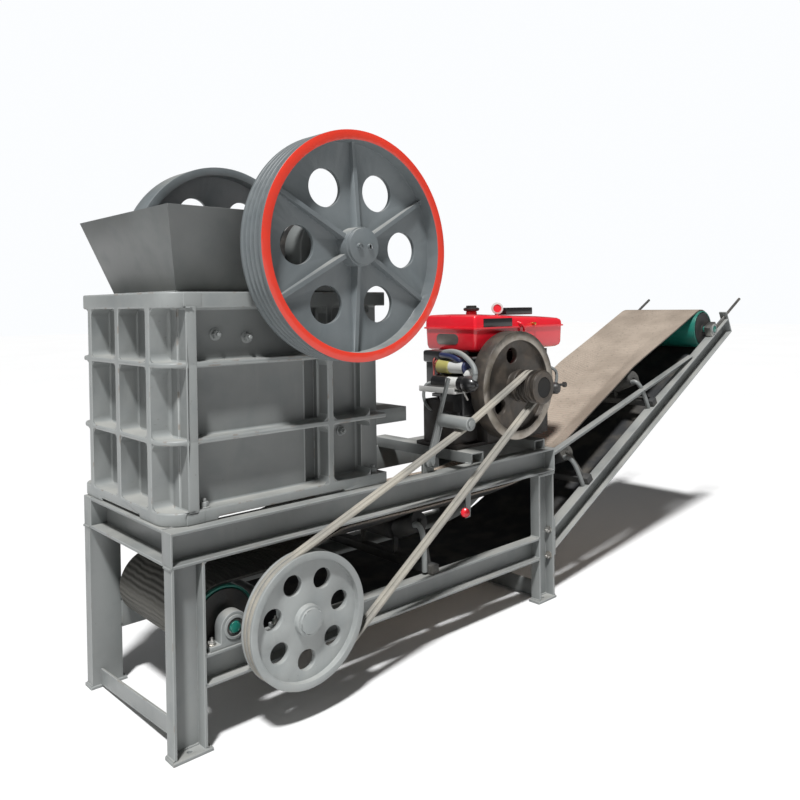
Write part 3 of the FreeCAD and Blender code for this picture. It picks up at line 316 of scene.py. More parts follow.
PAINT["manganese_steel"] = iron("dark_cast_steel", (0.10, 0.10, 0.10))
PAINT["bare_steel"] = steel("machined_steel", (0.45, 0.44, 0.42))
PAINT["engine_black"] = gloss("engine_black_paint", (0.012, 0.012, 0.013), 0.35)
PAINT["engine_iron"] = iron("oiled_engine_iron", (0.135, 0.12, 0.105))
PAINT["tank_red"] = gloss("tank_red_paint", (0.82, 0.016, 0.032), 0.22)
PAINT["belt_cord"] = rubber("drive_belt_rubber", (0.26, 0.25, 0.225), amount=0.6)
PAINT["belt_rubber"] = rubber("conveyor_belt_rubber", (0.33, 0.28, 0.23), amount=0.5)
PAINT["drum_green"] = gloss("drum_teal_paint", (0.012, 0.17, 0.13), 0.3)
print(len(PAINT), "finishes")

# %% [markdown]
# ## Soft edges on every plate
# Real plates and castings have no razor-sharp corners, and the small roundings catch the light.  Each
# CAD node is copied, its loose triangles are joined, flat areas become single faces again, and a Bevel
# modifier rounds what is left.  The bevelled strips of plain grey pieces get a paler paint: a painted
# highlight along every edge, rubbed to the metal here and there as wear.

# %% Round the edges of a copied node
WELD = 2e-5
FLAT = math.radians(0.6)


def clean(mesh):
    """Join loose triangles, make flat areas single faces, and cut those into tidy triangles."""
    work = bmesh.new()
    work.from_mesh(mesh)
    bmesh.ops.remove_doubles(work, verts=work.verts, dist=WELD)
    bmesh.ops.dissolve_limit(work, angle_limit=FLAT, verts=work.verts, edges=work.edges)
    bmesh.ops.triangulate(work, faces=work.faces, ngon_method="BEAUTY")
    work.to_mesh(mesh)
    work.free()


def united(nodes):
    """One mesh of several touching nodes, without the faces between them."""
    first, *others = [bpy.data.objects.new(node + "_part", NODES[node].data.copy()) for node in nodes]
    for thing in (first, *others):
        bpy.context.scene.collection.objects.link(thing)
        clean(thing.data)
    for other in others:
        join = first.modifiers.new("join", "BOOLEAN")
        join.operation, join.solver, join.object = "UNION", "EXACT", other
    seen = first.evaluated_get(bpy.context.evaluated_depsgraph_get())
    mesh = bpy.data.meshes.new_from_object(seen)
    for thing in (first, *others):
        bpy.data.objects.remove(thing)
    return mesh


def softened(node, width, segments=2, angle=35, finish=None, edge=None, nodes=None):
    """Copy of a CAD node, or of several as one, with rounded edges, standing for them."""
    mesh = united(nodes) if nodes else NODES[node].data.copy()
    clean(mesh)
    for face in mesh.polygons:
        face.use_smooth = True
    mesh.materials.clear()
    slot = SLOT_OF[node]
    mesh.materials.append(finish or PAINT[slot])
    mesh.materials.append(edge or EDGE.get(slot) or finish or PAINT[slot])
    for face in mesh.polygons:
        face.material_index = 0
    piece = bpy.data.objects.new(node + "_piece", mesh)
    bpy.context.scene.collection.objects.link(piece)
    bevel = piece.modifiers.new("edges", "BEVEL")
    bevel.width = width
    bevel.segments = segments
    bevel.limit_method = "ANGLE"
    bevel.angle_limit = math.radians(angle)
    bevel.harden_normals = True
    bevel.use_clamp_overlap = False
    bevel.miter_outer = "MITER_ARC"
    bevel.material = 1
    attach(piece, BODY_OF[node])
    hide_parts(*(nodes or [node]))
    return piece


CASTING = ["front_wall", "near_side_wall", "far_side_wall"]
WIDTHS = {"near_take_up": 0.0005, "far_take_up": 0.0005, "near_bearing": 0.004,
          "far_bearing": 0.004, "feed_hopper": 0.0012, "drive_belts": 0.0015}
WHEEL_PAINT = grey_paint("wheel_paint", (0.150, 0.168, 0.175), lump=0.5)
SPECIAL = {
    "near_flywheel": WHEEL_PAINT,
    "far_flywheel": WHEEL_PAINT,
    "feed_hopper": grey_paint("hopper_paint", tuple(np.array(GREY) * 0.58), lump=0.1, dust=0.3),
    "drive_pulley": grey_paint("pulley_paint", tuple(np.array(GREY) * 1.15), lump=0.3, dust=0.3),
    "engine_flywheel": iron("engine_wheel_iron", (0.088, 0.078, 0.068)),
    "engine_block": iron("engine_block_iron", (0.030, 0.027, 0.025)),
    "engine_bearers": grey_paint("bearer_paint", tuple(np.array(GREY) * 0.8)),
    "idlers": rubber("idler_black", (0.030, 0.031, 0.032), amount=0.15),
    # The rear ground tie's darker grey is painted shade for the shadow between the rear legs.
    "rear_ground_tie": grey_paint("ground_tie_paint", tuple(np.array(GREY) * 0.6)),
}
for node in sorted(NODES):
    if node not in ("fuel_tank", "conveyor_belt", *CASTING):
        softened(node, WIDTHS.get(node, 0.0016), finish=SPECIAL.get(node), edge=SPECIAL.get(node))
casting = softened("front_wall", 0.005, segments=3, nodes=CASTING)


def repaint(piece, finish, chosen):
    """Give another finish to the faces for which chosen(centres, normals) is true."""
    mesh = piece.data
    mesh.materials.append(finish)
    centres, normals = np.zeros((2, len(mesh.polygons) * 3))
    mesh.polygons.foreach_get("center", centres)
    mesh.polygons.foreach_get("normal", normals)
    index = np.zeros(len(mesh.polygons), int)
    mesh.polygons.foreach_get("material_index", index)
    picked = chosen(centres.reshape(-1, 3), normals.reshape(-1, 3))
    index[picked] = len(mesh.materials) - 1
    mesh.polygons.foreach_set("material_index", index)
    return int(picked.sum())


def on_rim(axis, inner):
    """Chooser of the outermost flat faces of a wheel outside one radius, on its near side."""
    def chosen(centre, normal):
        picked = (np.hypot(centre[:, 0] - axis[0], centre[:, 2] - axis[2]) > inner) & (normal[:, 1] < -0.9)
        return picked & (centre[:, 1] < centre[picked, 1].min() + 0.003)

    return chosen


def slim(node, axis, radius):
    """Make the shaft of a node 0.5 mm thinner, so that its flat facets turn freely in their bore."""
    mesh = bpy.data.objects[node + "_piece"].data
    points = np.zeros(len(mesh.vertices) * 3)
    mesh.vertices.foreach_get("co", points)
    points = points.reshape(-1, 3)
    out = points[:, [0, 2]] - axis[[0, 2]]
    away = np.hypot(*out.T)
    near = (away < radius + 0.0004) & (away > 0.003)
    points[near[:, None] & np.array([True, False, True])] -= (out[near] / away[near, None] * 0.0005).ravel()
    mesh.vertices.foreach_set("co", points.ravel())
    mesh.update()


slim("drive_pulley", AXIS["drive_spin"], 0.020)
slim("engine_flywheel", ENGINE, 0.025)
wheel = bpy.data.objects["near_flywheel_piece"]
wheel.modifiers["edges"].material = -1
red = gloss("red_wheel_ring", (0.76, 0.045, 0.022), 0.35)
print("red faces", repaint(wheel, red, on_rim(MAIN, 0.345)))
flywheel = bpy.data.objects["engine_flywheel_piece"]
print("rim faces", repaint(flywheel, steel("rubbed_rim", (0.36, 0.33, 0.29), 0.34), on_rim(ENGINE, 0.192)))
# The recessed walls of the body's cells get a darker copy of the grey: painted shade that deepens the shadow in
# the recesses.
deep = grey_paint("recess_paint", tuple(np.array(GREY) * 0.70), lump=0.6, dust=0.2)
print("recess faces", repaint(casting, deep, lambda centre, normal: (
    ((normal[:, 0] < -0.9) & (centre[:, 0] > span("front_wall")[0][0] + 0.05))
    | ((abs(normal[:, 1]) > 0.9) & (abs(centre[:, 1]) < 0.30) & (abs(centre[:, 1]) > 0.25)))))
print(len(NODES), "nodes softened", "casting faces", len(casting.data.polygons))

# %% [markdown]
# ## Surfaces from grids of points
# Most new pieces are grids: a profile carried along a path, or turned about an axis.  A `Heap` gathers
# many such grids, joins neighbouring points into four-sided faces and becomes one object.  A grid
# point is p[i, j]; face (i, j) joins p[i, j], p[i, j+1], p[i+1, j+1] and p[i+1, j].

# %% A heap of grids
class Heap:
    """Grids of points collected into one mesh."""

    def __init__(self):
        self.points, self.faces, self.count = [], [], 0

    def grid(self, points, around=True, caps=True, loop=False):
        """Add one grid [rows, columns, 3]; around closes the columns, loop closes the rows."""
        rows, columns = points.shape[:2]
        index = np.arange(rows * columns).reshape(rows, columns) + self.count
        if around:
            index = np.hstack([index, index[:, :1]])
        if loop:
            index = np.vstack([index, index[:1]])
        quads = np.stack([index[:-1, :-1], index[:-1, 1:], index[1:, 1:], index[1:, :-1]], axis=-1)
        self.faces += quads.reshape(-1, 4).tolist()
        if caps and around and not loop:
            self.faces += [index[0, :-1][::-1].tolist(), index[-1, :-1].tolist()]
        self.points.append(points.reshape(-1, 3))
        self.count += rows * columns
        return self

    def build(self, name, body, finish, slot, smooth=40):
        """Make the object, with faces outward and edges under an angle shaded smooth."""
        mesh = bpy.data.meshes.new(name)
        mesh.from_pydata(np.concatenate(self.points).tolist(), [], self.faces)
        work = bmesh.new()
        work.from_mesh(mesh)
        bmesh.ops.recalc_face_normals(work, faces=work.faces)
        for edge in work.edges:
            edge.smooth = edge.calc_face_angle(0) < math.radians(smooth)
        for face in work.faces:
            face.smooth = True
        work.to_mesh(mesh)
        work.free()
        mesh.materials.append(finish)
        piece = bpy.data.objects.new(name, mesh)
        bpy.context.scene.collection.objects.link(piece)
        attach(piece, body)
        return piece


def circle(radius, sides=16):
    """Profile: p(t) = radius * (cos t, sin t)."""
    turn = np.arange(sides) * 2 * np.pi / sides
    return radius * np.stack([np.cos(turn), np.sin(turn)], axis=1)


def rounded(width, height, radius, steps=3):
    """Profile: rectangle whose corners are quarter circles."""
    turn = np.radians(np.linspace(0, 90, steps + 1))
    parts = []
    for quarter, (u, v) in enumerate(((1, 1), (-1, 1), (-1, -1), (1, -1))):
        angle = turn + quarter * np.pi / 2
        middle = np.array([u * (width / 2 - radius), v * (height / 2 - radius)])
        parts.append(middle + radius * np.stack([np.cos(angle), np.sin(angle)], axis=1))
    return np.concatenate(parts)


def curve(knots, steps=8):
    """Smooth path through knots: p(t) = half of (2b + (c-a)t + (2a-5b+4c-d)t^2 + (3b-a-3c+d)t^3)."""
    knots = np.array(knots, float)
    knots = np.vstack([2 * knots[0] - knots[1], knots, 2 * knots[-1] - knots[-2]])
    t = np.linspace(0, 1, steps, endpoint=False)[:, None]
    parts = []
    for a, b, c, d in zip(knots, knots[1:], knots[2:], knots[3:]):
        parts.append(0.5 * (2 * b + (c - a) * t + (2 * a - 5 * b + 4 * c - d) * t ** 2
                            + (3 * b - a - 3 * c + d) * t ** 3))
    return np.vstack(parts + [knots[-2:-1]])


def sweep(profile, path, up=(0, 0, 1)):
    """Grid of a profile carried along a path, upright to it; the profile's y axis leans towards up."""
    path = np.array(path, float)
    ahead = np.gradient(path, axis=0)
    ahead /= np.linalg.norm(ahead, axis=1)[:, None]
    side = np.cross(ahead, np.array(up, float))
    if np.linalg.norm(side, axis=1).min() < 0.05:
        side = np.cross(ahead, (0.31, 0.84, 0.44))
    side /= np.linalg.norm(side, axis=1)[:, None]
    over = np.cross(side, ahead)
    return path[:, None] + profile[None, :, :1] * side[:, None] + profile[None, :, 1:] * over[:, None]


def lathe(profile, origin, direction, sides=24):
    """Grid of (radius, distance) pairs turned about a line: p = o + d*n + r*(u cos t + v sin t)."""
    profile = np.array(profile, float)
    n = np.array(direction, float) / np.linalg.norm(direction)
    u = np.cross(n, (0, 0, 1) if abs(n[2]) < 0.9 else (1, 0, 0))
    u /= np.linalg.norm(u)
    v = np.cross(n, u)
    turn = np.arange(sides) * 2 * np.pi / sides
    ring = np.cos(turn)[:, None] * u + np.sin(turn)[:, None] * v
    return np.array(origin) + profile[:, None, 1:] * n + profile[:, None, :1] * ring[None]


def slab(size, middle, radius=0.003):
    """Grid of a box with rounded edges: rounded rectangles stacked along z."""
    x, y, z = size
    lean = np.radians(np.linspace(0, 90, 4))
    rows = [(radius * (1 - math.sin(a)), -z / 2 + radius * (1 - math.cos(a))) for a in lean]
    rows += [(inset, -high) for inset, high in rows[::-1]]
    grid = [np.column_stack([rounded(x - 2 * inset, y - 2 * inset, max(radius - inset, 1e-4)),
                             np.full(16, high)]) for inset, high in rows]
    return np.array(grid) + np.array(middle)


def bolt(heap, place, direction, across=0.024, washer=True, stud=True):
    """Add a washer, a hexagon head and a stud end at a place."""
    place, direction = np.array(place, float), np.array(direction, float)
    start = 0.0
    if washer:
        heap.grid(lathe([(across * 0.78, -0.001), (across * 0.78, 0.0022), (across * 0.72, 0.003)], place,
                        direction, 14))
        start = 0.003
    tall = across * 0.62
    heap.grid(lathe([(across * 0.57, start), (across * 0.57, start + tall * 0.85),
                     (across * 0.49, start + tall)], place, direction, 6))
    if stud:
        heap.grid(lathe([(across * 0.28, start + tall - 0.002), (across * 0.28, start + tall + 0.007),
                         (across * 0.2, start + tall + 0.009)],
                        place, direction, 8))


print("surface helpers ready")

# %% [markdown]
# ## Distances from the machine's front corner
# The two ends of the machine, the sides and the floor are easy to measure from.  `at` turns a distance
# from the front feet, a distance from the crusher's middle plane and a height into a point.

# %% A point of the machine
FRONT = span("near_front_leg")[0][0]


def at(x, y, z):
    """Point x behind the front feet, y from the crusher's middle, z above the ground."""
    return np.array([FRONT + x, y, z])


white = gloss("white_plastic", (0.62, 0.62, 0.60), 0.4)
yellow = gloss("yellow_label", (0.42, 0.38, 0.12), 0.4)
black = gloss("black_plastic", (0.010, 0.010, 0.011), 0.3)
blue = gloss("blue_sleeve", (0.016, 0.024, 0.085), 0.45)
bright = steel("bright_steel", (0.62, 0.61, 0.58), 0.28)
dark_iron = iron("dark_fitting", (0.055, 0.055, 0.055))
print("front corner", FRONT)

# %% [markdown]
# ## Conveyor belt
# The belt is one closed loop.  Its middle line runs round the tail drum, along the flat part, up the
# slope, round the head drum and back.  At each place it has a distance across (u) and a lift of its
# two wings, w = t * sin(25 deg) * max(0, |u| - a), where t fades from 0 at the drums to 1 between
# them on the upper run, and is 0 on the lower run.

# %% Belt loop
TAIL, HEAD = AXIS["tail_spin"], AXIS["head_spin"]
DRUM = 0.107
SLOPE = math.radians(27.4)
bend = np.array([HEAD[0] - (HEAD[2] - TAIL[2]) / math.tan(SLOPE), TAIL[2]])


def belt_line():
    """Places (x, z), outward directions and trough amounts along the loop."""
    flat = np.array([1.0, 0.0])
    rise = np.array([math.cos(SLOPE), math.sin(SLOPE)])
    tail, head = TAIL[[0, 2]], HEAD[[0, 2]]
    corner = bend + DRUM * np.array([-math.tan(SLOPE / 2), 1])
    lower = bend - DRUM * np.array([-math.tan(SLOPE / 2), 1])
    soft = 0.22
    top = [tail + (0, DRUM)] + [tail + (0, DRUM) + (corner - flat * soft - tail - (0, DRUM)) * k
                                for k in np.linspace(0.02, 1, 60)]
    for k in np.linspace(0, 1, 16)[1:]:
        top.append((1 - k) ** 2 * (corner - flat * soft) + 2 * k * (1 - k) * corner
                   + k ** 2 * (corner + rise * soft))
    over = np.array([-rise[1], rise[0]])
    end = head + over * DRUM
    top += [top[-1] + (end - top[-1]) * k for k in np.linspace(0, 1, 70)[1:]]
    start = math.atan2(over[1], over[0])
    top += [head + DRUM * np.array([math.cos(start - a), math.sin(start - a)])
            for a in np.linspace(0, np.pi, 26)[1:]]
    low_end = lower + rise * soft
    top += [top[-1] + (low_end - top[-1]) * k for k in np.linspace(0, 1, 60)[1:]]
    for k in np.linspace(0, 1, 16)[1:]:
        top.append((1 - k) ** 2 * low_end + 2 * k * (1 - k) * lower + k ** 2 * (lower - flat * soft))
    finish = tail - (0, DRUM)
    top += [top[-1] + (finish - top[-1]) * k for k in np.linspace(0, 1, 60)[1:]]
    top += [tail + DRUM * np.array([math.cos(a), math.sin(a)])
            for a in np.linspace(-np.pi / 2, -1.5 * np.pi, 26)[1:-1]]
    line = np.array(top)
    ahead = np.roll(line, -1, axis=0) - np.roll(line, 1, axis=0)
    ahead /= np.linalg.norm(ahead, axis=1)[:, None]
    outward = np.column_stack([-ahead[:, 1], ahead[:, 0]])
    return line, outward


line, outward = belt_line()
step = np.linalg.norm(np.diff(line, axis=0, append=line[:1]), axis=1)
along = np.concatenate([[0], np.cumsum(step)[:-1]])
x = line[:, 0] - FRONT
high_run = outward[:, 1] > 0.6
fade = np.clip((x - 0.42) / 0.30, 0, 1)
reach = HEAD[0] - FRONT
fade = fade * fade * (3 - 2 * fade) * np.clip((reach - 0.03 - x) / 0.66, 0, 1)
fade = np.where(high_run, fade, 0)
half, flat_half, thick = 0.250, 0.100, 0.008
across = np.linspace(-half, half, 31)
middle_y = (TAIL[1] + HEAD[1]) / 2
wing = np.maximum(0, np.abs(across) - flat_half)
lean = math.radians(25)
lift = fade[:, None] * wing * math.sin(lean)
inward = fade[:, None] * wing * (1 - math.cos(lean)) * np.sign(across)
ripple = 0.0016 * np.sin(along[:, None] * 9 + across * 14) * fade[:, None]
rows = []
for side_of in (0.0, thick):
    offset = lift + ripple + side_of
    place = line[:, None, :] + offset[..., None] * outward[:, None, :]
    rows.append(np.stack([place[..., 0], np.broadcast_to(middle_y + across - inward, place.shape[:2]),
                          place[..., 1]], axis=-1))
loop = np.concatenate([rows[0], rows[1][:, ::-1]], axis=1)
print("belt length", round(float(step.sum()), 2), "rows", len(line))

# %% [markdown]
# ## Belt rubber
# The outer face is dusty tan with fine wavy ridges across it; the inner face is near black, painted
# shade for the return run, which lies in the shadow of the upper run.  Both read an attribute that
# stores the distance along the loop and the side, so the ridges bend with the belt.

# %% Belt piece
def belt_finish():
    """Tan ridged rubber outside, near black inside as painted shade, darker near the tail drum."""
    f = Finish("conveyor_belt_face", roughness=0.8)
    run = f.add("ShaderNodeAttribute", {"attribute_name": "run"})
    parts = f.add("ShaderNodeSeparateXYZ", sockets={"Vector": run}, out="X")
    cross = Wire(f.tree, parts.socket.node.outputs["Y"])
    outer = Wire(f.tree, parts.socket.node.outputs["Z"])
    wobble = f.noise(6, 2) * 0.030 + f.noise(30, 2) * 0.006 + (cross * 11).math("SINE") * 0.003
    ridge = ((parts + wobble) * (2 * math.pi / 0.017)).math("SINE") * 0.5 + 0.5
    cloud = f.fade(f.noise(3.5, 5), 0.35, 0.70)
    tan = f.mix((0.30, 0.245, 0.195), (0.45, 0.375, 0.305), cloud)
    tan = f.mix(tan, (0.20, 0.165, 0.135), (1 - ridge) * 0.22)
    tan = f.mix(tan, (0.16, 0.14, 0.12), f.fade(f.noise(70, 3), 0.55, 0.75) * 0.5)
    near_tail = 1 - f.fade(f.axis("X"), float(TAIL[0]) + 0.10, float(TAIL[0]) + 0.9)
    tan = f.mix(tan, (0.085, 0.082, 0.072), near_tail)
    # The near-black inner face is painted shade for the return run in the shadow of the upper run; the browner
    # patches are stains.
    dark = f.mix((0.024, 0.025, 0.027), (0.075, 0.068, 0.058), f.fade(f.noise(9, 4), 0.4, 0.7))
    return f.finish(f.mix(dark, tan, outer), 0.72 + cloud * 0.12, ridge * outer + f.noise(200, 2) * 0.2,
                    depth=0.004, strength=0.7)


heap = Heap()
heap.grid(loop, around=True, caps=False, loop=True)
belt = heap.build("conveyor_belt_sheet", BODY_OF["conveyor_belt"], belt_finish(), "belt_rubber", smooth=50)
run = belt.data.attributes.new("run", "FLOAT_VECTOR", "POINT")
where = np.zeros((*loop.shape[:2], 3))
where[..., 0] = along[:, None]
where[..., 1] = np.concatenate([across, across[::-1]])
where[:, len(across):, 2] = 1
run.data.foreach_set("vector", where.ravel())
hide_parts("conveyor_belt")
print("belt faces", len(belt.data.polygons))

# %% [markdown]
# ## Fuel tank
# The tank is a stack of rounded rectangles: the lower half draws in towards its bottom, a thin lip
# runs round the middle, and the upper half is crowned.  Each row is a height, an inset and a corner
# radius.

# %% Tank shell
low, high = span("fuel_tank")
middle = (low + high) / 2
wide, deep = high[0] - low[0], high[1] - low[1]
TANK_ROWS = [(1.101, 0.040, 0.02), (1.104, 0.024, 0.02), (1.112, 0.013, 0.018), (1.126, 0.009, 0.016),
             (1.198, 0.007, 0.014), (1.1985, 0.0, 0.014), (1.205, 0.0, 0.014), (1.2055, 0.006, 0.014),
             (1.243, 0.007, 0.014), (1.252, 0.011, 0.014), (1.258, 0.020, 0.016),
             (1.261, 0.045, 0.018), (1.264, 0.085, 0.018), (1.265, 0.13, 0.01)]
shell = []
for height, inset, corner in TANK_ROWS:
    profile = rounded(wide - 2 * inset, deep - 2 * inset, corner, 5)
    drop = 0.024 * max(0, min(1, (height - 1.206) / 0.04)) * (profile[:, 0] / wide + 0.5)
    shell.append(np.column_stack([profile + middle[:2], height - drop]))
tank = Heap().grid(np.array(shell)).build("fuel_tank_shell", "frame", PAINT["tank_red"], "tank_red",
                                          smooth=32)
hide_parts("fuel_tank")
near = low[1]
collar = Heap().grid(lathe([(0.024, 0), (0.024, 0.018), (0.020, 0.024)], at(1.508, -0.15, 1.250),
                           (0, 0, 1)))
collar.build("tank_filler_neck", "frame", PAINT["tank_red"], "tank_red")
knob = Heap().grid(lathe([(0.020, 0), (0.032, 0.003), (0.035, 0.008), (0.035, 0.013), (0.028, 0.017),
                          (0.014, 0.018)],
                         at(1.508, -0.15, 1.272), (0, 0, 1), 30))
knob.grid(slab((0.060, 0.012, 0.010), at(1.508, -0.15, 1.293), 0.004))
knob.build("tank_filler_cap", "frame", dark_iron, "engine_iron")
ring = Heap().grid(lathe([(0.026, -0.006), (0.026, 0.006), (0.018, 0.008), (0.018, -0.008)],
                         at(1.600, -0.22, 1.284),
                         (0.72, 0.69, 0)), loop=True)
ring.build("tank_gauge_ring", "frame", white, "tank_red")
glass = Heap().grid(lathe([(0.018, -0.005), (0.018, 0.004), (0.006, 0.005)], at(1.600, -0.22, 1.284),
                          (0.72, 0.69, 0)))
glass.grid(slab((0.010, 0.010, 0.02), at(1.600, -0.22, 1.256), 0.003))
glass.build("tank_gauge", "frame", PAINT["tank_red"], "tank_red")
top_box = Heap().grid(slab((0.185, 0.070, 0.032), at(1.735, -0.2, 1.270), 0.004))
top_box.build("tank_top_box", "frame", black, "engine_black")
plates = Heap().grid(slab((0.185, 0.002, 0.036), at(1.525, near + 0.0055, 1.224), 0.0009))
plates.build("tank_name_strip", "frame", black, "engine_black")
oval = rounded(0.130, 0.046, 0.022, 6)
badge = np.array([np.column_stack([np.full(len(oval), FRONT + 1.374 + 0.0085 - d), -0.125 + oval[:, 0] * k,
                                   1.155 + oval[:, 1] * k])
                  for d, k in ((0.0, 1.0), (0.0016, 1.0), (0.0022, 0.97))])
Heap().grid(badge).build("tank_oval_plate", "frame", steel("dull_plate", (0.30, 0.28, 0.26), 0.5),
                         "bare_steel")
tap = Heap().grid(lathe([(0.006, 0), (0.006, 0.02), (0.003, 0.022)], at(1.757, near + 0.008, 1.214),
                        (0, -1, 0), 12))
tap.build("tank_brass_plug", "frame", steel("brass", (0.60, 0.42, 0.12)), "bare_steel")
valve_path = curve([at(1.66, near + 0.01, 1.222), at(1.668, near - 0.006, 1.214),
                    at(1.680, near - 0.010, 1.196), at(1.684, near - 0.006, 1.178)])
valve = Heap().grid(sweep(circle(0.006, 10), valve_path))
valve.build("tank_fuel_tap", "frame", PAINT["tank_red"], "tank_red")
print("tank", np.round(low, 3), np.round(high, 3))

# %% [markdown]
# ## Engine fittings
# In front of the cylinder sit a starter with a yellow and white body, a black and white pump, a blue
# hose and a shelf below them.  Each is a turned shape or a tube along a smooth path.

# %% Small parts beside the cylinder
def barrel(name, x, z, y0, y1, radius, finish, slot="engine_iron", crown=0.004):
    """Cylinder along y with rounded rims."""
    rows = [(radius - crown, 0), (radius, crown), (radius, abs(y1 - y0) - crown),
            (radius - crown, abs(y1 - y0))]
    return Heap().grid(lathe(rows, at(x, y0, z), (0, y1 - y0, 0))).build(name, "frame", finish, slot)


barrel("starter_label", 1.30, 1.047, -0.160, -0.232, 0.029, yellow)
barrel("starter_body", 1.30, 1.047, -0.228, -0.312, 0.027, white)
barrel("starter_band", 1.30, 1.047, -0.310, -0.324, 0.030, blue)
barrel("pump_body", 1.30, 0.981, -0.130, -0.218, 0.030, black)
barrel("pump_label", 1.302, 0.981, -0.155, -0.190, 0.0306, white)
barrel("pump_end", 1.30, 0.981, -0.214, -0.292, 0.028, white)
barrel("lamp_back", 1.275, 0.984, -0.300, -0.352, 0.030, black)
dome = Heap().grid(lathe([(0.030, 0), (0.034, 0.006), (0.033, 0.03), (0.026, 0.048), (0.014, 0.060),
                          (0.007, 0.064), (0.006, 0.072)],
                         at(1.270, -0.338, 0.985), (-0.12, -0.99, 0)))
dome.build("air_dome", "frame", black, "engine_black")
tray = Heap().grid(slab((0.104, 0.205, 0.006), at(1.298, -0.192, 0.944), 0.002))
tray.grid(slab((0.006, 0.205, 0.022), at(1.247, -0.192, 0.954), 0.002))
tray.build("engine_tray", "frame", white, "frame_paint")
back = Heap()
back.grid(slab((0.145, 0.140, 0.100), at(1.372, -0.222, 0.893), 0.008))
back.grid(slab((0.020, 0.110, 0.020), at(1.302, -0.222, 0.850), 0.006))
back.grid(slab((0.090, 0.230, 0.150), at(1.365, -0.165, 1.010), 0.012))
back.grid(slab((0.130, 0.060, 0.110), at(1.385, -0.268, 1.030), 0.014))
back.grid(slab((0.150, 0.180, 0.050), at(1.370, -0.150, 1.085), 0.010))
back.build("cylinder_cover", "frame", PAINT["engine_black"], "engine_black")
WIRE_RED = gloss("wire_red", (0.30, 0.045, 0.035), 0.5)
TUBES = {
    "intake_pipe": (0.011, PAINT["frame_paint"], [
        (1.335, -0.15, 1.085), (1.300, -0.187, 1.103), (1.29, -0.250, 1.110), (1.285, -0.310, 1.098),
        (1.280, -0.365, 1.063), (1.272, -0.388, 1.030), (1.268, -0.385, 1.000)]),
    "blue_hose": (0.013, blue, [
        (1.33, -0.150, 1.085), (1.295, -0.180, 1.093), (1.288, -0.240, 1.090), (1.29, -0.290, 1.076),
        (1.33, -0.31, 1.06)]),
    "side_handle": (0.007, PAINT["frame_paint"], [
        (1.335, -0.100, 0.972), (1.300, -0.080, 0.965), (1.292, -0.068, 0.928), (1.295, -0.072, 0.890),
        (1.30, -0.092, 0.865), (1.31, -0.125, 0.850)]),
    "rear_handle": (0.007, PAINT["frame_paint"], [
        (1.76, -0.235, 1.030), (1.785, -0.330, 1.024), (1.806, -0.365, 1.012), (1.826, -0.368, 0.990),
        (1.822, -0.368, 0.952), (1.806, -0.360, 0.932), (1.77, -0.235, 0.925)]),
    "short_hook": (0.0045, bright, [
        (1.272, -0.320, 0.995), (1.262, -0.330, 0.965), (1.266, -0.340, 0.938), (1.274, -0.344, 0.920)]),
    "red_wire": (0.004, WIRE_RED, [
        (1.31, -0.130, 1.085), (1.288, -0.135, 1.068), (1.294, -0.130, 1.03), (1.288, -0.136, 1.000),
        (1.31, -0.120, 0.965)]),
    "second_wire": (0.004, WIRE_RED, [
        (1.33, -0.142, 1.080), (1.283, -0.150, 1.060), (1.300, -0.148, 1.020), (1.33, -0.140, 1.00)]),
    "fuel_line": (0.004, black, [
        (1.684, -0.301, 1.178), (1.686, -0.285, 1.150), (1.68, -0.27, 1.10), (1.66, -0.262, 1.06)]),
    "upper_pipe": (0.009, dark_iron, [
        (1.36, -0.28, 1.075), (1.40, -0.330, 1.085), (1.44, -0.300, 1.09)]),
}
for name, (radius, finish, knots) in TUBES.items():
    path = curve([at(*knot) for knot in knots])
    tube = Heap().grid(sweep(circle(radius, 12), path, up=(0.2, 0.1, 1)))
    tube.build(name, "frame", finish, "engine_iron")
knob = Heap().grid(lathe([(0.006, 0), (0.006, 0.03), (0.012, 0.034), (0.012, 0.046), (0.004, 0.05)],
                         at(1.824, -0.372, 0.938), (0.9, -0.3, 0)))
knob.grid(lathe([(0.02, 0), (0.026, 0.008), (0.026, 0.03), (0.018, 0.04)], at(1.805, -0.352, 0.925),
                (0.3, -0.95, 0)))
knob.build("rear_handle_knob", "frame", dark_iron, "engine_iron")
clip = Heap().grid(lathe([(0.006, -0.02), (0.017, -0.014), (0.019, 0.0), (0.012, 0.018), (0.004, 0.03)],
                         at(1.295, -0.33, 1.022), (0.3, -0.5, 0.8)))
clip.build("white_terminal", "frame", white, "engine_iron")
print(len(TUBES), "tubes")

# %% [markdown]
# ## Crank pulley end
# The small grooved pulley ends in a wide flange.  Its bore is a shallow near-black disc: painted shade that stands
# for a deep hole.

# %% Flange and bore
face = span("engine_flywheel")[0][1]
hub = np.array([ENGINE[0], face - 0.004, ENGINE[2]])
ringed = [(0.043, 0.028), (0.043, 0.001), (0.046, 0.0003), (0.062, 0.0003), (0.066, 0.004), (0.066, 0.011),
          (0.060, 0.014), (0.058, 0.028)]
flange = Heap().grid(lathe(ringed, hub, (0, 1, 0), 40), loop=True)
flange.build("pulley_flange", BODY_OF["engine_flywheel"], SPECIAL["engine_flywheel"], "engine_iron")
# The bore is shallow; its near-black finish is painted shade for the depth of the hole.
bore = Heap().grid(lathe([(0.0435, 0.0032), (0.02, 0.0034), (0.018, 0.006)], hub, (0, 1, 0), 30))
bore_painted_shade = rubber("deep_bore", (0.006, 0.006, 0.006), amount=0.02)
bore.build("pulley_bore", BODY_OF["engine_flywheel"], bore_painted_shade, "engine_black")
print("flange at", np.round(hub, 3))

# %% [markdown]
# ## Drum ends, bearings, spring and knob
# The drums have dark recessed ends inside a green rim.  Each foot bearing shows an inner ring and a
# seal.  A coil spring, p(t) = (x0 + h*t, r*cos t, r*sin t), pulls the toggle rod, and a red knob on a
# pale stem hangs under the frame.

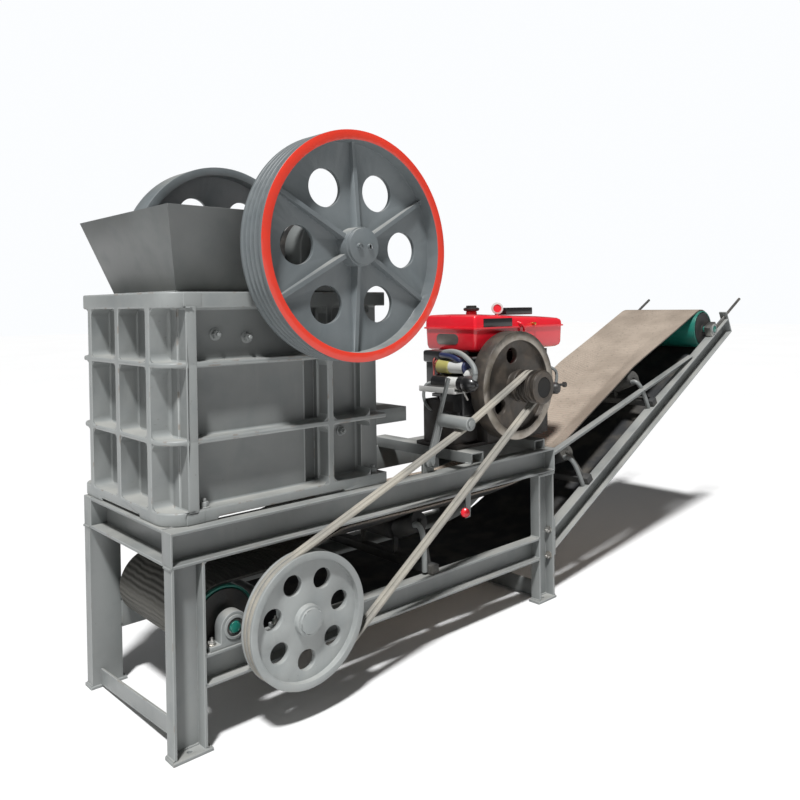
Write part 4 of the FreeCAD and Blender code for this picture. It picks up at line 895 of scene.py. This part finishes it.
# %% Small parts of the conveyor and drive
for name, joint, node in (("head", HEAD, "head_drum"), ("tail", TAIL, "tail_drum")):
    ends = Heap()
    for sign in (-1, 1):
        place = np.array([joint[0], middle_y + sign * 0.2622, joint[2]])
        ends.grid(lathe([(0.096, -0.001), (0.096, 0.001), (0.030, 0.0016), (0.026, 0.006), (0.019, 0.007)],
                        place, (0, sign, 0), 30))
    ends.build(name + "_drum_ends", BODY_OF[node], dark_iron, "drum_green")
rings, seals = Heap(), Heap()
for joint, y, radius in ((TAIL, span("tail_bearings")[0][1], 0.036),
                         (AXIS["drive_spin"], span("counter_bearings")[0][1], 0.028),
                         (HEAD, span("near_take_up")[0][1], 0.030)):
    place = np.array([joint[0], y, joint[2]])
    rings.grid(lathe([(radius, 0.002), (radius, -0.0035), (radius - 0.003, -0.005),
                      (radius - 0.008, -0.005), (radius - 0.008, 0.002)],
                     place, (0, 1, 0), 30), loop=True)
    seals.grid(lathe([(radius - 0.009, 0.0), (radius - 0.009, -0.002), (0.0215, -0.003), (0.0215, 0.0)],
                     place, (0, 1, 0), 24), loop=True)
for joint, (low, high) in ((MAIN, span("near_bearing")), (MAIN, span("far_bearing"))):
    sign = -1 if low[1] < 0 else 1
    y = low[1] if sign < 0 else high[1]
    for k in range(6):
        turn = math.radians(60 * k + 30)
        bolt(rings, (joint[0] + 0.094 * math.cos(turn), y, joint[2] + 0.094 * math.sin(turn)),
             (0, sign, 0), 0.016, washer=False, stud=False)
rings.build("bearing_rings", "frame", PAINT["crusher_paint"], "crusher_paint")
seals.build("bearing_seals", "frame", dark_iron, "engine_iron")
low, high = span("tension_rod")
t = np.linspace(0, 2 * np.pi * 7, 7 * 18)
centre = (low + high) / 2
COIL_R = 0.0362
coil = np.column_stack([high[0] - 0.128 + 0.112 * t / t[-1],
                        centre[1] + COIL_R * np.cos(t),
                        centre[2] + COIL_R * np.sin(t)])
spring = Heap().grid(sweep(circle(0.0055, 8), coil, up=(1, 0, 0)))
spring.build("rod_spring", BODY_OF["tension_rod"], bright, "bare_steel")
stem = curve([at(1.222, -0.372, 0.484), at(1.262, -0.338, 0.470), at(1.324, -0.288, 0.447)])
Heap().grid(sweep(circle(0.009, 12), stem)).build("knob_stem", "frame", white, "frame_paint")
Heap().grid(lathe([(0.006, -0.014), (0.016, -0.008), (0.019, 0.0), (0.016, 0.009), (0.007, 0.014)],
                  at(1.215, -0.378, 0.4865),
                  (-0.7, -0.65, 0.25), 20)).build("red_knob", "frame", PAINT["tank_red"], "tank_red")
hanger = Heap().grid(sweep(rounded(0.030, 0.006, 0.002, 2),
                           curve([at(1.316, -0.300, 0.565), at(1.318, -0.296, 0.500),
                                  at(1.322, -0.290, 0.430)]), up=(0, 1, 0)))
hanger.build("knob_hanger", "frame", PAINT["frame_paint"], "frame_paint")

# %% [markdown]
# ## Weld seams
# Channel is joined by hand welding.  A seam is a thin tube with a bead every 5 mm, its radius being
# r * (1 + 0.20*sin(2*pi*s / 0.005) + 0.08*sin(300*s)).

# %% Seams on the frame
def weld(heap, start, end, radius=0.0042):
    """Bumpy bead between two points."""
    start, end = np.array(start, float), np.array(end, float)
    length = np.linalg.norm(end - start)
    s = np.linspace(0, length, int(length / 0.0017) + 2)
    path = start + (end - start) * (s / length)[:, None]
    grid = sweep(circle(radius, 6), path, up=(0.3, 0.5, 0.8))
    bead = 1 + 0.20 * np.sin(2 * np.pi * s / 0.005) + 0.08 * np.sin(s * 300)
    heap.grid(path[:, None] + (grid - path[:, None]) * bead[:, None, None])


heap = Heap()
for name in ("near_front_leg", "near_rear_leg", "far_front_leg", "far_rear_leg"):
    low, high = span(name)
    sign = -1 if low[1] < 0 else 1
    edge = (low[1] + 0.007) if sign < 0 else (high[1] - 0.007)
    x0, x1 = (low[0] + 0.006, low[0] + 0.110) if "front" in name else (low[0] + 0.016, low[0] + 0.120)
    for z in (0.0105, high[2]):
        weld(heap, (x0, edge - sign * 0.0475, z), (x0, edge, z))
        weld(heap, (x1, edge - sign * 0.0475, z), (x1, edge, z))
        weld(heap, (x0, edge - sign * 0.0415, z), (x1, edge - sign * 0.0415, z))
for name in ("near_lower_rail", "far_lower_rail"):
    low, high = span(name)
    for x in (low[0], high[0]):
        weld(heap, (x, low[1], low[2] + 0.009), (x, high[1], low[2] + 0.009))
        weld(heap, (x, low[1], high[2]), (x, high[1], high[2]))
low, high = span("engine_bearers")
for x in (low[0] + 0.001, low[0] + 0.070, high[0] - 0.070, high[0] - 0.001):
    for y in (low[1] + 0.002, high[1] - 0.034):
        weld(heap, (x, y, low[2] + 0.001), (x, y + 0.032, low[2] + 0.001))
low, high = span("near_top_rail")
for y in (low[1] + 0.060, -low[1] - 0.156):
    weld(heap, (low[0] + 0.062, y, high[2]), (low[0] + 0.002, y, high[2]), 0.003)
low, high = span("feed_hopper")
mouth = span("front_wall")[1][2] + 0.002
for x in (FRONT + 0.105, FRONT + 0.400):
    weld(heap, (x, -0.235, mouth), (x, 0.235, mouth))
for y in (-0.236, 0.236):
    weld(heap, (FRONT + 0.105, y, mouth), (FRONT + 0.400, y, mouth))
heap.build("weld_seams", "frame", PAINT["frame_paint"], "frame_paint", smooth=60)
print("weld points", heap.count)

# %% [markdown]
# ## Idler brackets and roller ends
# Each group of rollers sits on a cross bar; its outer ends are carried by bent pipes that rise from
# the side channels.  The rollers are black, and their outer ends have green caps.

# %% Bent pipes and caps
rise = np.array([math.cos(SLOPE), 0, math.sin(SLOPE)])
over = np.array([-math.sin(SLOPE), 0, math.cos(SLOPE)])
bend_point = np.array([bend[0], 0, bend[1]])
STATIONS = [(at(1.050, 0, TAIL[2]), np.array([1.0, 0, 0]), np.array([0, 0, 1.0])),
            (bend_point + 0.319 * rise, rise, over), (bend_point + 0.983 * rise, rise, over)]
pipes, caps = Heap(), Heap()


def sideways(sign, distance):
    """Step from the conveyor's middle plane towards one side."""
    return np.array([0, middle_y + sign * distance, 0])


for origin, ahead, up_way in STATIONS:
    for sign in (-1, 1):
        knots = [(0.302, -0.045), (0.300, 0.02), (0.296, 0.075), (0.286, 0.110), (0.266, 0.126),
                 (0.246, 0.122)]
        path = curve([origin + sideways(sign, d) + up_way * n - ahead * 0.030 for d, n in knots])
        pipes.grid(sweep(circle(0.011, 12), path, up=ahead))
        tilt = np.array([0, sign * math.cos(lean), 0]) + up_way * math.sin(lean)
        end = origin + sideways(sign, 0.100) + up_way * (DRUM - 0.0385) + tilt * 0.141
        caps.grid(lathe([(0.030, -0.004), (0.036, 0.0), (0.036, 0.003), (0.030, 0.006), (0.012, 0.007)],
                        end, tilt, 20))
pipes.build("idler_pipes", "frame", PAINT["frame_paint"], "frame_paint")
caps.build("idler_caps", "frame", PAINT["drum_green"], "drum_green")
print(len(STATIONS), "roller groups")

# %% [markdown]
# ## Casting fillets
# Where ribs and shelves of a casting meet, the mould leaves a hollow rounding.  A fillet is a prism:
# a corner c, two directions a and b, and the curve c + r*(a + b) - r*(a*sin t + b*cos t) between them.
# Thin slabs cover the joint between the front wall and the side walls.

# %% Hollow roundings in the cells of the body
def fillet(heap, start, end, a, b, radius):
    """Prism with one hollow side in the corner between directions a and b."""
    start, end, a, b = (np.array(v, float) for v in (start, end, a, b))
    t = np.radians(np.linspace(0, 90, 7))[:, None]
    hollow = radius * (a + b) - radius * (a * np.sin(t) + b * np.cos(t))
    ring = np.vstack([[0 * a - 0.001 * (a + b)], hollow])
    heap.grid(np.array([start + ring, end + ring]))


def cell(heap, low, high, depth_axis, open_side, radius, wall=0.007):
    """Fillets in the four corners of a cell and round the wall at its back."""
    u, v = [k for k in range(3) if k != depth_axis]
    front, back = low[depth_axis], high[depth_axis]
    if open_side > 0:
        front, back = back, front
    axes = np.eye(3)
    for cu, du in ((low[u], 1), (high[u], -1)):
        for cv, dv in ((low[v], 1), (high[v], -1)):
            place = np.zeros(3)
            place[u], place[v] = cu, cv
            ends = [place.copy(), place.copy()]
            ends[0][depth_axis], ends[1][depth_axis] = front + 0.003 * np.sign(back - front), back
            fillet(heap, ends[0], ends[1], axes[u] * du, axes[v] * dv, radius)
    for k, other in ((u, v), (v, u)):
        for ck, dk in ((low[k], 1), (high[k], -1)):
            place = np.zeros(3)
            place[k], place[depth_axis] = ck, back
            ends = [place.copy(), place.copy()]
            ends[0][other], ends[1][other] = low[other] + radius * 0.4, high[other] - radius * 0.4
            fillet(heap, ends[0], ends[1], axes[k] * dk, axes[depth_axis] * np.sign(front - back), wall)


ROWS = ((0.703, 0.900), (0.915, 1.128), (1.143, 1.303))
heap = Heap()
for z0, z1 in ROWS:
    for y0, y1 in ((-0.2135, -0.0145), (0.0145, 0.2135)):
        cell(heap, at(0.0145, y0, z0), at(0.078, y1, z1), 0, -1, 0.024)
    for sign in (-1, 1):
        y0, y1 = sorted((sign * 0.2425, sign * 0.300))
        for height, up in ((z0, 1), (z1, -1)):
            fillet(heap, at(0.018, sign * 0.2425, height), at(0.078, sign * 0.2425, height), (0, sign, 0),
                   (0, 0, up), 0.024)
        fillet(heap, at(0.078, sign * 0.2425, z0), at(0.078, sign * 0.2425, z1), (0, sign, 0), (-1, 0, 0),
               0.010)
        for x0, x1, wall_y in ((0.104, 0.586, 0.290), (0.610, 0.770, 0.262)):
            y0, y1 = sorted((sign * 0.345, sign * wall_y))
            cell(heap, at(x0, y0, z0), at(x1, y1, z1), 1, -1 if sign < 0 else 1, 0.024)
for z0, z1 in ((0.660, 0.703), (1.303, 1.351)):
    for sign in (-1, 1):
        heap.grid(slab((0.060, 0.006, z1 - z0 - 0.006), at(0.104, sign * 0.3430, (z0 + z1) / 2 + 0.001),
                       0.0028))
for z0, z1 in ROWS:
    for sign in (-1, 1):
        heap.grid(slab((0.034, 0.006, z1 - z0 + 0.020), at(0.0975, sign * 0.3430, (z0 + z1) / 2), 0.0028))
heap.build("casting_fillets", "frame", PAINT["crusher_paint"], "crusher_paint", smooth=30)
print("fillets", heap.count, "points")

# %% [markdown]
# ## Bolts, nuts and washers
# Real machines are held by dozens of bolts.  A bolt head is a six-sided turned shape on a round
# washer, so it needs few faces, and one object can hold them all.

# %% Bolt heads
PANEL_BOLTS = ((0.203, 1.221), (0.312, 1.208))
body_side = span("near_side_wall")
panel_y = body_side[0][1] + 0.055
heap = Heap()
for x, z in PANEL_BOLTS:
    bolt(heap, at(x, panel_y, z), (0, -1, 0), 0.025)
for x in (0.142, 0.800):
    bolt(heap, at(x, body_side[0][1] + 0.026, 0.703), (0, 0, 1), 0.024)
    bolt(heap, at(x, -body_side[0][1] - 0.026, 0.703), (0, 0, 1), 0.024)
bolt(heap, at(0.700, body_side[0][1] + 0.083, 0.86), (0, -1, 0), 0.024)
heap.build("body_bolts", "frame", PAINT["crusher_paint"], "crusher_paint")
heap = Heap()
for name in ("near_bearing", "far_bearing"):
    low, high = span(name)
    y = (low[1] + high[1]) / 2
    for x in (low[0] + 0.032, high[0] - 0.032):
        bolt(heap, (x, y - 0.02, low[2] + 0.062), (0, 0, 1), 0.034)
heap.build("bearing_bolts", "frame", PAINT["crusher_paint"], "crusher_paint")
heap = Heap()
leg_low, leg_high = span("near_rear_leg")
for z in (0.300, 0.185):
    bolt(heap, (leg_high[0] - 0.013, leg_low[1] + 0.030, z), (-1, 0, 0), 0.022)
for name in ("counter_bearings", "tail_bearings"):
    low, high = span(name)
    for y in (low[1] + 0.02, high[1] - 0.02):
        for x in (low[0] + 0.014, high[0] - 0.014):
            bolt(heap, (x, y, low[2] + 0.014), (0, 0, 1), 0.018)
heap.build("frame_bolts", "frame", bright, "bare_steel")
print("bolts added")

# %% [markdown]
# ## Floor and light
# A pale floor, a soft sun from above, white surroundings and a weak square light in front show the
# shapes without hard shadows.  The floor isn't part of the machine.

# %% Stage
def studio_floor():
    """Wide pale plane under the machine."""
    mesh = bpy.data.meshes.new("floor")
    reach = 40.0
    mesh.from_pydata([(-reach, -reach, 0), (reach, -reach, 0), (reach, reach, 0), (-reach, reach, 0)], [],
                     [(0, 1, 2, 3)])
    floor = bpy.data.objects.new("floor", mesh)
    f = Finish("pale_floor", roughness=0.9)
    mesh.materials.append(f.finish(f.mix((0.80, 0.80, 0.80), (0.84, 0.84, 0.84), f.noise(0.6, 2))))
    bpy.context.scene.collection.objects.link(floor)


def soft_light(name, place, target, size, power):
    """Square area light at a place, looking at a target."""
    data = bpy.data.lights.new(name, "AREA")
    data.size = size
    data.energy = power
    light = bpy.data.objects.new(name, data)
    light.location = place
    light.rotation_euler = (Vector(target) - Vector(place)).to_track_quat("-Z", "Y").to_euler()
    bpy.context.scene.collection.objects.link(light)


def studio_world(light, shown):
    """White surroundings: one strength for lighting, another for what the camera sees."""
    world = bpy.data.worlds.new("studio")
    world.use_nodes = True
    tree = world.node_tree
    ray = tree.nodes.new("ShaderNodeLightPath")
    strength = tree.nodes.new("ShaderNodeMapRange")
    strength.inputs["To Min"].default_value = light
    strength.inputs["To Max"].default_value = shown
    tree.links.new(ray.outputs["Is Camera Ray"], strength.inputs["Value"])
    back = tree.nodes["Background"]
    back.inputs["Color"].default_value = (0.97, 0.985, 1, 1)
    tree.links.new(strength.outputs["Result"], back.inputs["Strength"])
    bpy.context.scene.world = world


def soft_sun(direction, power, spread):
    """Sun travelling along a direction; the spread in degrees softens its shadows."""
    data = bpy.data.lights.new("sun", "SUN")
    data.energy = power
    data.angle = math.radians(spread)
    sun = bpy.data.objects.new("sun", data)
    sun.rotation_euler = Vector(direction).to_track_quat("-Z", "Y").to_euler()
    bpy.context.scene.collection.objects.link(sun)


studio_floor()
studio_world(0.10, 1.0)
soft_sun((0.36, 0.30, -0.88), 4.2, 6)
soft_light("front", (-6.5, -1.5, 2.6), (-1.5, 0, 0.9), 4.0, 25)
print("stage set")
